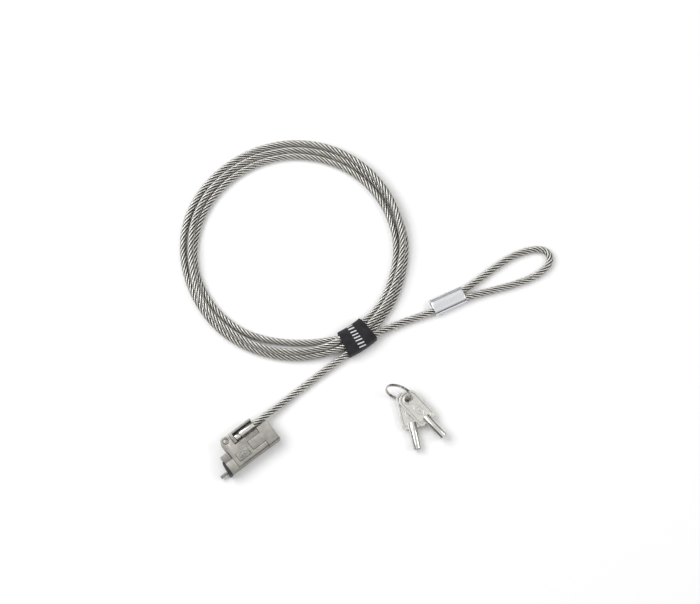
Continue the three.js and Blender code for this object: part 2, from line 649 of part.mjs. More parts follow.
// The strap's section: a flat underside, rounded flanks and a bulging top.
function strapSection(inset) {
  const inner = COIL_OUT_R - COIL_TURNS * CABLE_D * SQUEEZE_W - GAP - STRAP_T + inset;
  const outer = laneR + cableR + GAP + STRAP_T - inset;
  const low = inset + 0.02;
  const edge = strapLift + CABLE_D + GAP + STRAP_T - inset;
  const outline = [[inner, low], [outer, low]];
  const steps = 10;
  const skew = Math.log(0.5) / Math.log(STRAP_PEAK);
  for (let i = 0; i <= steps; i += 1) {
    const across = outer + (inner - outer) * i / steps;
    outline.push([across, edge + STRAP_RISE * Math.sin(Math.PI * (i / steps) ** skew) ** 0.8]);
  }
  return outline;
}

function strapSolid(inset, halfAngle) {
  const outline = strapSection(inset);
  const steps = 6;
  const shape = new THREE.Shape(outline.map(([r, z]) => new THREE.Vector2(r, z)));
  const slab = new THREE.ExtrudeGeometry(shape, { depth: 1, steps, bevelEnabled: false });
  const position = slab.attributes.position;
  for (let i = 0; i < position.count; i += 1) {
    const angle = strapAt + halfAngle * (1 - 2 * position.getZ(i));
    const radius = position.getX(i);
    position.setXYZ(i, coilX + radius * Math.cos(angle), coilY + radius * Math.sin(angle), position.getY(i));
  }
  return toSolid(slab);
}

function strap() {
  const halfAngle = STRAP_L / 2 / (COIL_OUT_R - CABLE_D);
  return strapSolid(0, halfAngle).subtract(strapSolid(STRAP_T, halfAngle * 1.5));
}

// The length of cable at the lock: out of the ferrule, down to the table and up under the strap.
function lockTail() {
  const leadX = sleeveEndX + LEAD_OUT;
  const [endX, endY] = onCoil(laneR, STRAP_AT - 8, 0);
  const points = [
    [sleeveX + STUD_SHANK_L + GAP, cableY, midZ], [sleeveEndX + LEAD_OUT / 5, cableY, midZ],
    [leadX, cableY, midZ - LEAD_DROP],
  ];
  [0.25, 0.45, 0.65, 0.85].forEach((share) => {
    const bow = TAIL_BOW * Math.sin(Math.PI * share);
    const rise = share > 0.8 || share < 0.3 ? FIT : 0;
    points.push([leadX + (endX - leadX) * share, cableY + (endY - cableY) * share + bow, tableZ + rise]);
  });
  points.push(onCoil(laneR, STRAP_AT - 8, laneZ - FIT), onCoil(laneR, STRAP_AT - 4, laneZ));
  return tube([...points, onCoil(laneR, STRAP_AT - splitDegrees, laneZ)], 40);
}

// Place in the loop sleeve's own axes: along it, across it (towards +Y) and up.
function inLoopSleeve(along, across, z) {
  const x = LOOP_SLEEVE_X + along * Math.cos(sleeveTurn) - across * Math.sin(sleeveTurn);
  const y = LOOP_SLEEVE_Y + along * Math.sin(sleeveTurn) + across * Math.cos(sleeveTurn);
  return [x, y, z];
}

// The other length of cable: from under the strap to the table and into the loop sleeve.
function loopTail() {
  const half = LOOP_SLEEVE_L / 2;
  const from = onCoil(laneR, STRAP_AT + 8, laneZ - FIT);
  const ahead = onCoil(laneR, STRAP_AT + 8 + THREE.MathUtils.radToDeg(BRIDGE / laneR), tableZ);
  const entry = inLoopSleeve(-half - LEAD_OUT / 3, -sleeveLane, sleeveMidZ - GAP);
  const before = inLoopSleeve(-half - LEAD_OUT / 3 - BRIDGE, -sleeveLane, tableZ);
  const bridge = new THREE.CubicBezierCurve3(...[from, ahead, before, entry].map((p) => new THREE.Vector3(...p)));
  return tube([
    onCoil(laneR, STRAP_AT + splitDegrees, laneZ), onCoil(laneR, STRAP_AT + 4, laneZ),
    ...bridge.getPoints(5).map((p) => [p.x, p.y, Math.max(p.z, tableZ)]),
    inLoopSleeve(-half - LEAD_OUT / 10, -sleeveLane, sleeveMidZ), inLoopSleeve(0, -sleeveLane, sleeveMidZ),
  ], 32);
}

// The end loop, a drop shape: out of the sleeve in one lane, round, and back into the other lane.
function cableLoop() {
  const half = LOOP_SLEEVE_L / 2;
  const points = [inLoopSleeve(-half + 2, sleeveLane, sleeveMidZ), inLoopSleeve(0, sleeveLane, sleeveMidZ)];
  const steps = 16;
  for (let i = 0; i <= steps; i += 1) {
    const turn = 2 * Math.PI * i / steps;
    const along = half + OVER + LOOP_L * (1 - Math.cos(turn)) / 2;
    const across = LOOP_W * Math.sin(turn) * Math.sin(turn / 2) ** LOOP_TAPER + sleeveLane * Math.cos(turn / 2);
    const rise = Math.max(0, 1 - (along - half) / LEAD_OUT);
    points.push(inLoopSleeve(along, across, tableZ + (sleeveMidZ - tableZ) * rise));
  }
  points.push(inLoopSleeve(half / 2, -sleeveLane, sleeveMidZ), inLoopSleeve(GAP, -sleeveLane, sleeveMidZ));
  return tube(points, 58);
}

function stadium(halfWidth, radius) {
  const shape = new THREE.Shape();
  shape.absarc(halfWidth - radius, 0, radius, -Math.PI / 2, Math.PI / 2, false);
  shape.absarc(-halfWidth + radius, 0, radius, Math.PI / 2, Math.PI * 1.5, false);
  return shape;
}

function loopSleeve() {
  const outer = sleeveLane + LOOP_SLEEVE_T;
  const slug = (halfWidth, radius, length) => new THREE.ExtrudeGeometry(stadium(halfWidth, radius),
    { depth: length, bevelEnabled: false, curveSegments: 12 }).translate(0, 0, -length / 2);
  const solid = toSolid(slug(sleeveLane + outer, outer, LOOP_SLEEVE_L))
    .subtract(toSolid(slug(2 * sleeveLane, sleeveLane, LOOP_SLEEVE_L + 2 * OVER)));
  const geometry = toGeometry(solid);
  const axes = new THREE.Matrix4().makeBasis(
    new THREE.Vector3(0, 1, 0), new THREE.Vector3(0, 0, 1), new THREE.Vector3(1, 0, 0));
  return geometry.applyMatrix4(axes).rotateZ(sleeveTurn).translate(LOOP_SLEEVE_X, LOOP_SLEEVE_Y, sleeveMidZ);
}

// ---------------------------------------------------------------- keys
// A key's own axes: hole at the origin, barrel along +X, bow plate in the XY plane.
function bowOutline(inset) {
  const end = -KEY_HOLE_BACK + inset;
  const foot = BOW_L - KEY_HOLE_BACK - inset;
  const half = BOW_W / 2 - inset;
  const shape = new THREE.Shape();
  shape.moveTo(foot - BOW_FOOT_R, -half);
  shape.quadraticCurveTo(foot, -half, foot, -half + BOW_FOOT_R);
  shape.lineTo(foot, half - BOW_FOOT_R);
  shape.quadraticCurveTo(foot, half, foot - BOW_FOOT_R, half);
  shape.lineTo(end + BOW_SHOULDER, half);
  shape.bezierCurveTo(end + BOW_SHOULDER * 0.3, half, end, half / 2, end, 0);
  shape.bezierCurveTo(end, -half / 2, end + BOW_SHOULDER * 0.3, -half, end + BOW_SHOULDER, -half);
  return shape;
}

function keyBow() {
  const plate = prism(bowOutline(0), -BOW_T / 2, BOW_T / 2, 8);
  const panel = prism(bowOutline(BOW_RIM), BOW_T / 2 - BOW_RECESS, BOW_T, 8);
  const under = prism(bowOutline(BOW_RIM), -BOW_T, -BOW_T / 2 + BOW_RECESS, 8);
  const boss = cylinder('z', KEY_HOLE_R + BOSS_W, -BOW_T / 2 + BOSS_IN, BOW_T / 2 - BOSS_IN, 0, 0, 28);
  const hole = cylinder('z', KEY_HOLE_R, -BOW_T, BOW_T, 0, 0, 28);
  const seat = box(barrelX - FIT, bowFootX + OVER, -seatHalfW, seatHalfW, -BOW_T, BOW_T);
  return plate.subtract(panel.add(under)).add(boss).subtract(hole.add(seat));
}

function keyBarrel() {
  const stock = cylinder('x', BARREL_R, barrelX, barrelEndX, 0, 0, 32);
  const bore = cylinder('x', BARREL_BORE_R, bowFootX + SEAT_IN * 2, barrelEndX + OVER, 0, 0, 24);
  const inner = seatHalfW - FIT;
  const grooves = [-1, 1].map((side) => box(barrelX - OVER, bowFootX + FIT,
    Math.min(side * inner, side * BOW_W), Math.max(side * inner, side * BOW_W),
    -BOW_T / 2 - RUN, BOW_T / 2 + RUN));
  const flute = box(bowFootX + SEAT_IN, barrelEndX + OVER, -FLUTE_AT - FLUTE_W, -FLUTE_AT,
    BARREL_R - FLUTE_DEEP, BARREL_R + OVER);
  const notch = box(barrelEndX - NOTCH_L, barrelEndX + OVER, -NOTCH_W / 2, NOTCH_W / 2,
    -BARREL_R - OVER, -BARREL_BORE_R + TAB_RISE);
  return stock.subtract(unite([bore, ...grooves, flute, notch]));
}

// Two turns of flat wire side by side, with the free end of each turn cut off square.
const ringHalfW = RING_WIRE_W + RUN / 2;

function splitRing() {
  const low = RING_R - RING_WIRE_T / 2;
  const high = RING_R + RING_WIRE_T / 2;
  const profile = [
    [low + RING_EDGE, -ringHalfW], [high - RING_EDGE, -ringHalfW], [high, RING_EDGE - ringHalfW],
    [high, -RUN], [high - RING_GROOVE, 0], [high, RUN],
    [high, ringHalfW - RING_EDGE], [high - RING_EDGE, ringHalfW], [low + RING_EDGE, ringHalfW],
    [low, ringHalfW - RING_EDGE],
    [low, RUN], [low + RING_GROOVE, 0], [low, -RUN],
    [low, RING_EDGE - ringHalfW], [low + RING_EDGE, -ringHalfW],
  ];
  const ring = turned('z', profile, 0, 0, 36);
  const cutLow = RING_R - 2 * RING_WIRE_T;
  const cutHigh = RING_R + 2 * RING_WIRE_T;
  const upperEnd = box(0, RING_SPLIT, cutLow, cutHigh, RUN / 2, ringHalfW + OVER);
  const lowerEnd = box(RING_END_AT, RING_END_AT + RING_SPLIT, cutLow, cutHigh, -ringHalfW - OVER, -RUN / 2);
  return ring.subtract(upperEnd.add(lowerEnd));
}

function keyAt({ x, y }, turn, z) {
  const group = new THREE.Group();
  group.position.set(x, y, z);
  group.rotation.z = turn;
  part.add(group);
  return group;
}

function addKeys() {
  const lowZ = BARREL_R + KEY_LIFT;
  const highZ = lowZ + BOW_T + GAP;
  const keyA = keyAt(KEY_A, keyATurn, highZ);
  place('key_a_bow', keyBow(), 'bright_nickel', keyA);
  place('key_a_barrel', keyBarrel(), 'bright_nickel', keyA);
  const keyB = keyAt(KEY_B, keyATurn - keySpread, lowZ);
  place('key_b_bow', keyBow(), 'bright_nickel', keyB);
  place('key_b_barrel', keyBarrel(), 'bright_nickel', keyB);
  const tilt = THREE.MathUtils.degToRad(RING.tilt);
  const ringZ = (RING_R + RING_WIRE_T / 2) * Math.sin(tilt) + ringHalfW * Math.cos(tilt) + RUN;
  const ring = keyAt(RING, THREE.MathUtils.degToRad(RING.turn), ringZ);
  place('key_ring', splitRing(), 'steel', ring).rotation.x = tilt;
}

// ---------------------------------------------------------------- assembly
place('cable_coil', coil(), 'cable');
place('cable_tail_lock', lockTail(), 'cable');
place('cable_tail_loop', loopTail(), 'cable');
place('cable_loop', cableLoop(), 'cable');
place('loop_sleeve', loopSleeve(), 'aluminium');
place('coil_strap', strap(), 'fabric');
place('cable_sleeve', cableSleeve(), 'bright_nickel');
place('swivel_stud', swivelStud(), 'bright_nickel');
place('swivel_arm', swivelArm(), 'nickel');
place('front_housing', frontHousing(), 'nickel');
place('support_foot', supportFoot(), 'nickel_dark');
place('nose_pad', nosePad(), 'rubber');
place('hook', hook(), 'steel');
place('blocking_pin', blockingPin(), 'steel');
place('hinge_rivet', hingeRivet(), 'bright_nickel');
place('rear_housing', rearHousing(), 'nickel');
place('face_ring', faceRing(), 'bright_nickel');
place('rotor', rotor(), 'brass');
place('cam_drum', camDrum(), 'steel');
place('cross_pin_left', crossPin(1), 'steel');
place('cross_pin_right', crossPin(-1), 'steel');
pinPlaces().forEach(([y, z], i) => {
  const n = i + 1;
  place(`key_pin_${n}`, cylinder('x', PIN_R, rotorX, rotorX + KEY_PIN_L, y, z, 14), 'brass');
  place(`driver_pin_${n}`, cylinder('x', PIN_R, blockX - DRIVER_L, blockX, y, z, 14), 'steel');
  place(`pin_spring_${n}`, pinSpring(y, z), 'steel');
});
addKeys();

export default part;
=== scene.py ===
"""Laptop cable lock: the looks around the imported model.

Named sizes and the cable's route are in millimetres, and MM turns them into Blender's metres.
"""

import math

import bmesh
import bpy
import numpy as np
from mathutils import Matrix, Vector


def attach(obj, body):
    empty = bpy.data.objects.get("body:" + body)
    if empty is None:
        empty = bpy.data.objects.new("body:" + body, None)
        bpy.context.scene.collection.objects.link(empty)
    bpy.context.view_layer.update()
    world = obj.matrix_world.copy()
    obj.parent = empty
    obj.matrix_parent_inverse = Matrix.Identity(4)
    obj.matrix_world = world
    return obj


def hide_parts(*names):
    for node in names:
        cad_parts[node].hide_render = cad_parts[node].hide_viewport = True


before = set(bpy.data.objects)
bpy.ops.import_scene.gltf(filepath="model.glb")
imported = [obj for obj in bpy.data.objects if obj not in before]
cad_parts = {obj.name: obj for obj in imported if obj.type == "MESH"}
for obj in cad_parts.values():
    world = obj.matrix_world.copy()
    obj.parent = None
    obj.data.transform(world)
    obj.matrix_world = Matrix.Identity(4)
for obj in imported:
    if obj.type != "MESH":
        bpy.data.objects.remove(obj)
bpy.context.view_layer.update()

MM = 0.001

# The coil and the cable, in millimetres, as the CAD part has them.
CABLE_D = 5.0
CABLE_R = CABLE_D / 2
COIL_CENTRE = np.array([120.7, 96.6])
COIL_OUT_R = 84.2
STRAP_AT = -94.0
STRAP_W, STRAP_THICK, STRAP_GAP = 22.0, 1.1, 0.3
LANE_R = COIL_OUT_R + STRAP_GAP + CABLE_R
LANE_Z = STRAP_THICK + STRAP_GAP + CABLE_R
LOOP_SLEEVE_AT = (183.8, -1.7)
LOOP_SLEEVE_TURN = math.radians(-12.6)
LOOP_SLEEVE_L = 24.7
SLEEVE_FIT, SLEEVE_WALL = 0.15, 0.85
SLEEVE_LANE = CABLE_R + SLEEVE_FIT
SLEEVE_Z = CABLE_R + SLEEVE_FIT + SLEEVE_WALL
HEAD_MID_Z = 5.5
FITTING_Y = 11.45
ON_TABLE_Z = CABLE_R + 0.05
END_LOOP_L, END_LOOP_HALF_W = 73.0, 14.05


# ------------------------------------------------------------------ camera, floor and light
FLOOR_WHITE = (0.96, 0.96, 0.96, 1)


def aim(obj, target):
    """Turns a camera or a lamp towards a point."""
    obj.rotation_mode = "QUATERNION"
    obj.rotation_quaternion = (Vector(target) - obj.location).to_track_quat("-Z", "Y")


def make_camera():
    """A long lens looking steeply down, as the object was photographed."""
    azimuth, elevation, distance = math.radians(322.3), math.radians(77), 2.0
    target = Vector((0.1283, 0.0413, 0.0))
    width = 0.5018
    back = Vector((math.sin(azimuth) * math.cos(elevation), -math.cos(azimuth) * math.cos(elevation),
                   math.sin(elevation)))
    data = bpy.data.cameras.new("camera")
    data.sensor_width = 36
    data.lens = data.sensor_width * distance / width
    camera = bpy.data.objects.new("camera", data)
    bpy.context.collection.objects.link(camera)
    camera.location = target + back * distance
    aim(camera, target)
    bpy.context.scene.camera = camera


def area_light(name, location, target, size, power):
    """A rectangular lamp; power is in watts."""
    data = bpy.data.lights.new(name, "AREA")
    data.shape = "RECTANGLE"
    data.size, data.size_y = size
    data.energy = power
    lamp = bpy.data.objects.new(name, data)
    bpy.context.collection.objects.link(lamp)
    lamp.location = location
    aim(lamp, target)


def make_studio():
    """A white floor, a pale surround and soft lights, the strongest from the upper left of the picture."""
    mesh = bpy.data.meshes.new("floor")
    half = 3.0
    corners = [(-half, -half, 0), (half, -half, 0), (half, half, 0), (-half, half, 0)]
    mesh.from_pydata(corners, [], [(0, 1, 2, 3)])
    floor = bpy.data.objects.new("floor", mesh)
    bpy.context.collection.objects.link(floor)
    material = bpy.data.materials.new("floor_white")
    material.use_nodes = True
    shader = material.node_tree.nodes["Principled BSDF"]
    shader.inputs["Base Color"].default_value = FLOOR_WHITE
    shader.inputs["Roughness"].default_value = 0.9
    shader.inputs["Specular IOR Level"].default_value = 0.1
    mesh.materials.append(material)
    make_surround()
    middle = (0.13, 0.06, 0)
    area_light("key", (-0.45, 0.85, 1.15), middle, (1.4, 1.0), 15)
    area_light("fill", (0.9, -0.5, 0.9), middle, (0.7, 0.35), 3)


def make_surround():
    """A studio room, light overhead and darker towards the floor, so that metal has something to show."""
    world = bpy.data.worlds.new("studio")
    world.use_nodes = True
    nodes, links = world.node_tree.nodes, world.node_tree.links
    coords = nodes.new("ShaderNodeTexCoord")
    split = nodes.new("ShaderNodeSeparateXYZ")
    ramp = nodes.new("ShaderNodeValToRGB")
    links.new(coords.outputs["Generated"], split.inputs[0])
    links.new(split.outputs["Z"], ramp.inputs["Fac"])
    stops = [(0.0, 0.10), (0.5, 0.22), (0.62, 0.45), (0.74, 0.95), (0.90, 1.0), (1.0, 0.86)]
    while len(ramp.color_ramp.elements) < len(stops):
        ramp.color_ramp.elements.new(0.5)
    for element, (place, grey) in zip(ramp.color_ramp.elements, stops):
        element.position = place
        element.color = (grey, grey, grey, 1)
    links.new(ramp.outputs["Color"], nodes["Background"].inputs["Color"])
    nodes["Background"].inputs["Strength"].default_value = 0.90
    bpy.context.scene.world = world


# ------------------------------------------------------------------ the cable's route
def on_coil(radius, degrees, z):
    """A point round the coil's centre."""
    angle = math.radians(degrees)
    return [COIL_CENTRE[0] + radius * math.cos(angle), COIL_CENTRE[1] + radius * math.sin(angle), z]


def in_loop_sleeve(along, across, z):
    """A point measured along and across the end loop's sleeve."""
    c, s = math.cos(LOOP_SLEEVE_TURN), math.sin(LOOP_SLEEVE_TURN)
    return [LOOP_SLEEVE_AT[0] + along * c - across * s, LOOP_SLEEVE_AT[1] + along * s + across * c, z]


# How each of the three turns lies round the coil: its radius and height in millimetres at each station,
# in degrees past the strap. TURN_TOP rides on the other two at the first stations and TURN_OUTER at the
# last ones. Between those, all three lie side by side.
STATIONS = [8, 26, *range(56, 342, 15), 352]
TURN_OUTER = [(82.3, 3.5), (82.0, 2.6), (81.2, 2.5), (79.5, 2.5), (77.6, 2.5), (76.6, 2.5),
              (75.6, 2.5), (74.6, 2.5), (74.4, 2.5), (74.5, 2.6), (74.3, 2.9), (74.8, 3.4),
              (75.6, 3.9), (76.0, 5.2), (75.2, 7.0), (76.2, 7.0), (78.5, 7.1), (78.2, 6.4),
              (77.9, 6.2), (78.4, 6.4), (78.2, 6.3), (78.4, 6.9), (78.4, 7.9)]
TURN_INNER = [(75.9, 3.6), (75.3, 2.6), (74.7, 2.5), (73.4, 2.5), (72.5, 2.5), (71.6, 2.5),
              (70.9, 2.5), (70.0, 2.5), (69.8, 2.5), (69.9, 2.5), (70.1, 2.5), (70.8, 2.5),
              (71.5, 2.5), (72.4, 2.5), (73.3, 2.5), (74.1, 2.5), (73.6, 2.5), (73.4, 2.5),
              (72.9, 2.5), (70.9, 2.5), (70.4, 2.5), (71.9, 2.7), (74.4, 3.6)]
TURN_TOP = [(79.2, 7.3), (78.8, 6.6), (78.9, 6.5), (78.8, 7.0), (78.6, 7.3), (78.8, 6.9), (79.1, 6.0),
            (79.3, 4.0), (79.3, 2.9), (79.2, 2.6), (79.0, 2.5), (79.6, 2.5), (80.6, 2.5), (81.6, 2.5),
            (81.3, 2.5), (80.8, 2.5), (80.6, 2.5), (81.3, 2.5), (81.4, 2.5), (81.3, 2.5), (81.5, 3.1),
            (81.6, 4.6), (81.8, 6.2)]


def cable_points():
    """The whole cable, from the fitting at the lock to the end of the loop inside its sleeve."""
    lock_end = [
        [9.1, FITTING_Y, HEAD_MID_Z], [23.2, FITTING_Y, HEAD_MID_Z], [31.2, FITTING_Y, HEAD_MID_Z - 0.1],
        [40.2, FITTING_Y + 0.1, HEAD_MID_Z - 1.3], [54, 11.9, 2.7], [66, 12.0, ON_TABLE_Z],
        [80, 12.1, ON_TABLE_Z],
        [91, 12.0, 2.8], on_coil(LANE_R + 0.15, -102.2, LANE_Z - 0.3), on_coil(LANE_R - 0.2, -99, LANE_Z),
        on_coil(84.3, -94, LANE_Z - 0.2)]
    over_strap, under_strap = on_coil(75.2, STRAP_AT, 7.4), on_coil(78.6, STRAP_AT, LANE_Z)
    loop_end = [
        on_coil(82.7, STRAP_AT, 7.0), on_coil(84.7, -90, 6.4), on_coil(86.4, -86, 5.0),
        [133.5, 9.9, 3.3], [141.8, 8.1, ON_TABLE_Z], [149.3, 6.2, ON_TABLE_Z], [156.5, 3.5, 2.7]]
    half = LOOP_SLEEVE_L / 2
    loop_end += [in_loop_sleeve(-half - 7, 0.3 - SLEEVE_LANE, SLEEVE_Z - 0.25)]
    loop_end += [in_loop_sleeve(a, -SLEEVE_LANE, SLEEVE_Z) for a in (-half - 2, 0)]
    loop_end += end_loop_points()
    points = list(lock_end)
    for turn, join in ((TURN_OUTER, [over_strap]), (TURN_INNER, [under_strap]), (TURN_TOP, [])):
        points += [on_coil(r, STRAP_AT + degrees, z) for degrees, (r, z) in zip(STATIONS, turn)] + join
    return points + loop_end


def end_loop_points():
    """The end loop, a drop shape: out of the sleeve in one lane and back into it in the other."""
    half = LOOP_SLEEVE_L / 2
    steps, slope_l = 16, 21
    points = []
    for i in range(steps + 1):
        turn = 2 * math.pi * (1 - i / steps)
        along = half + 1 + END_LOOP_L * (1 - math.cos(turn)) / 2
        swing = math.copysign(abs(math.sin(turn)) ** 0.8, math.sin(turn))
        across = END_LOOP_HALF_W * swing * math.sin(turn / 2) ** 1.7 + SLEEVE_LANE * math.cos(turn / 2)
        rise = max(0.0, 1 - (along - half) / slope_l)
        points.append(in_loop_sleeve(along, across, ON_TABLE_Z + (SLEEVE_Z - ON_TABLE_Z) * rise))
    points += [in_loop_sleeve(a, SLEEVE_LANE, SLEEVE_Z) for a in (0, -half + 2)]
    return points


def smooth_line(points, step, samples=24):
    """A centripetal Catmull-Rom curve through the points, cut into equal steps."""
    p = np.array(points, float)
    p = np.vstack([2 * p[0] - p[1], p, 2 * p[-1] - p[-2]])
    knots = np.concatenate([[0], np.cumsum(np.linalg.norm(np.diff(p, axis=0), axis=1) ** 0.5)])
    fine = []
    for i in range(1, len(p) - 2):
        t = np.linspace(knots[i], knots[i + 1], samples, endpoint=False)[:, None]
        k = knots[i - 1:i + 3]
        a1 = (k[1] - t) / (k[1] - k[0]) * p[i - 1] + (t - k[0]) / (k[1] - k[0]) * p[i]
        a2 = (k[2] - t) / (k[2] - k[1]) * p[i] + (t - k[1]) / (k[2] - k[1]) * p[i + 1]
        a3 = (k[3] - t) / (k[3] - k[2]) * p[i + 1] + (t - k[2]) / (k[3] - k[2]) * p[i + 2]
        b1 = (k[2] - t) / (k[2] - k[0]) * a1 + (t - k[0]) / (k[2] - k[0]) * a2
        b2 = (k[3] - t) / (k[3] - k[1]) * a2 + (t - k[1]) / (k[3] - k[1]) * a3
        fine.append((k[2] - t) / (k[2] - k[1]) * b1 + (t - k[1]) / (k[2] - k[1]) * b2)
    fine = np.vstack(fine + [p[-2][None]])
    return evenly(fine, step)


def evenly(line, step):
    """The line cut again into equal steps of about this length."""
    along = np.concatenate([[0], np.cumsum(np.linalg.norm(np.diff(line, axis=0), axis=1))])
    count = max(2, round(along[-1] / step) + 1)
    where = np.linspace(0, along[-1], count)
    return np.stack([np.interp(where, along, line[:, i]) for i in range(3)], axis=1)


def settle(line, rounds=160, gap=4.85, apart=12, push_by=0.45, hold=0.012, smooth_by=0.2):
    """Pushes stretches of cable that lie in each other apart, and off the floor, and keeps the line smooth.

    Points nearer than apart along the cable are neighbours, and are left alone. The ends stay where they are.
    """
    goal = line.copy()
    line = line.copy()
    count = len(line)
    step = np.linalg.norm(line[1] - line[0])
    index = np.arange(count)
    others = np.abs(index[:, None] - index[None]) * step > apart
    held_l, blend_l = 40, 30
    free = np.clip((np.minimum(index, count - 1 - index) * step - held_l) / blend_l, 0, 1)[:, None]
    for _ in range(rounds):
        between = line[:, None] - line[None]
        distance = np.sqrt((between ** 2).sum(axis=2)) + 1e-9
        close = others & (distance < gap)
        weight = np.where(close, (gap - distance) / distance, 0)
        push = (between * weight[:, :, None]).sum(axis=1) / np.maximum(close.sum(axis=1), 1)[:, None]
        line += push * push_by + (goal - line) * hold
        line[2:-2] += (line[1:-3] + line[3:-1] - 2 * line[2:-2]) * smooth_by
        line[:, 2] = np.maximum(line[:, 2], CABLE_R)
        line = goal * (1 - free) + line * free
    return line


# ------------------------------------------------------------------ meshes
def new_object(name, vertices, faces, body):
    """A smooth-shaded piece that rides on a body."""
    mesh = bpy.data.meshes.new(name)
    mesh.from_pydata([tuple(v) for v in vertices], [], [tuple(f) for f in faces])
    mesh.polygons.foreach_set("use_smooth", [True] * len(mesh.polygons))
    obj = bpy.data.objects.new(name, mesh)
    bpy.context.collection.objects.link(obj)
    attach(obj, body)
    return obj


def outward(obj):
    """Turns every face of a closed mesh outwards."""
    work = bmesh.new()
    work.from_mesh(obj.data)
    bmesh.ops.recalc_face_normals(work, faces=work.faces)
    work.to_mesh(obj.data)
    work.free()


def frames_along(line):
    """Two normals at each point of the line, carried along without twist."""
    tangent = np.gradient(line, axis=0)
    tangent /= np.linalg.norm(tangent, axis=1)[:, None]
    normal = np.zeros_like(line)
    side = np.array([0.0, 0.0, 1.0])
    for i, t in enumerate(tangent):
        side = side - t * side.dot(t)
        side /= np.linalg.norm(side)
        normal[i] = side
    return normal, np.cross(tangent, normal)


# The rope, in millimetres: the length of one full turn of its strands, half the thickness of a strand
# outwards and sideways, and how many times the wires go round their strand for each millimetre of rope.
STRANDS = 6
ROPE_LAY = 23.0
STRAND_RADIAL, STRAND_TANGENTIAL = 0.78, 0.81
STRAND_SIDES = 8
CORE_R = 1.0
WIRES = 9
WIRE_TURN = 0.132


def rope(name, line, body):
    """A six-strand steel rope along the line: strands laid right-handed round a core, painted near black as
    the shade between them.
    """
    count = len(line)
    normal, binormal = frames_along(line)
    along = np.concatenate([[0], np.cumsum(np.linalg.norm(np.diff(line, axis=0), axis=1))])
    vertices, faces, coords = [], [], []

    def tube(ring_points, sides, u_of):
        """Joins rings of points into a closed tube, and records where each corner is along and around it."""
        base = sum(len(v) for v in vertices)
        vertices.append(ring_points.reshape(-1, 3))
        i, j = np.meshgrid(np.arange(count - 1), np.arange(sides), indexing="ij")
        k = (j + 1) % sides
        quad = np.stack([i * sides + j, i * sides + k, (i + 1) * sides + k, (i + 1) * sides + j], axis=2)
        faces.extend((quad.reshape(-1, 4) + base).tolist())
        u = np.stack([u_of(i, j), u_of(i, j + 1), u_of(i + 1, j + 1), u_of(i + 1, j)], axis=2)
        v = np.stack([along[i], along[i], along[i + 1], along[i + 1]], axis=2)
        coords.append(np.stack([u, v], axis=3).reshape(-1, 2))
        for first, turn in ((0, -1), ((count - 1) * sides, 1)):
            cap = [base + first + s for s in range(sides)][::turn]
            faces.append(cap)
            coords.append(np.zeros((sides, 2)))

    helix_r = CABLE_R - STRAND_RADIAL
    turn = 2 * np.pi * np.arange(STRAND_SIDES) / STRAND_SIDES
    for strand in range(STRANDS):
        theta = 2 * np.pi * (along / ROPE_LAY + strand / STRANDS)
        radial = np.cos(theta)[:, None] * normal + np.sin(theta)[:, None] * binormal
        across = -np.sin(theta)[:, None] * normal + np.cos(theta)[:, None] * binormal
        out = helix_r + STRAND_RADIAL * np.cos(turn)
        aside = STRAND_TANGENTIAL * np.sin(turn)
        ring = line[:, None] + radial[:, None] * out[None, :, None] + across[:, None] * aside[None, :, None]
        tube(ring, STRAND_SIDES, lambda i, j: j / STRAND_SIDES + along[i] * WIRE_TURN)
    core = CORE_R * (np.cos(turn)[None, :, None] * normal[:, None]
                     + np.sin(turn)[None, :, None] * binormal[:, None])
    strand_faces = len(faces)
    tube(line[:, None] + core, STRAND_SIDES, lambda i, j: 0 * i)
    obj = new_object(name, np.vstack(vertices) * MM, faces, body)
    uv = obj.data.uv_layers.new(name="strand")
    uv.data.foreach_set("uv", np.vstack(coords).ravel().astype(np.float32))
    index = np.zeros(len(faces), dtype=np.int32)
    index[strand_faces:] = 1
    obj.data.polygons.foreach_set("material_index", index)
    return obj


# ------------------------------------------------------------------ materials
def new_material(name):
    """A new material with its nodes, its links and its main shader."""
    material = bpy.data.materials.new(name)
    material.use_nodes = True
    tree = material.node_tree
    return material, tree.nodes, tree.links, tree.nodes["Principled BSDF"]


def noise(nodes, links, scale, stretch=(1, 1, 1), detail=3.0):
    """Noise in object space. scale is in features per metre, and stretch scales it along each axis."""
    coords = nodes.new("ShaderNodeTexCoord")
    mapping = nodes.new("ShaderNodeMapping")
    mapping.inputs["Scale"].default_value = stretch
    links.new(coords.outputs["Object"], mapping.inputs["Vector"])
    texture = nodes.new("ShaderNodeTexNoise")
    texture.inputs["Scale"].default_value = scale
    texture.inputs["Detail"].default_value = detail
    links.new(mapping.outputs["Vector"], texture.inputs["Vector"])
    return texture.outputs["Fac"]


def spread(nodes, links, value, low, high, start=0.3, end=0.7):
    """Maps a value from start..end to low..high."""
    node = nodes.new("ShaderNodeMapRange")
    node.inputs["From Min"].default_value = start
    node.inputs["From Max"].default_value = end
    node.inputs["To Min"].default_value = low
    node.inputs["To Max"].default_value = high
    links.new(value, node.inputs["Value"])
    return node.outputs["Result"]


def tinted(nodes, links, value, dark, light):
    """A colour between two, by a value from 0 to 1."""
    node = nodes.new("ShaderNodeMix")
    node.data_type = "RGBA"
    node.inputs["A"].default_value = (*dark, 1)
    node.inputs["B"].default_value = (*light, 1)
    links.new(value, node.inputs["Factor"])
    return node.outputs["Result"]


def multiplied(nodes, links, first, second, amount):
    """One colour darkened by another."""
    node = nodes.new("ShaderNodeMix")
    node.data_type = "RGBA"
    node.blend_type = "MULTIPLY"
    node.inputs["Factor"].default_value = amount
    links.new(first, node.inputs["A"])
    links.new(second, node.inputs["B"])
    return node.outputs["Result"]


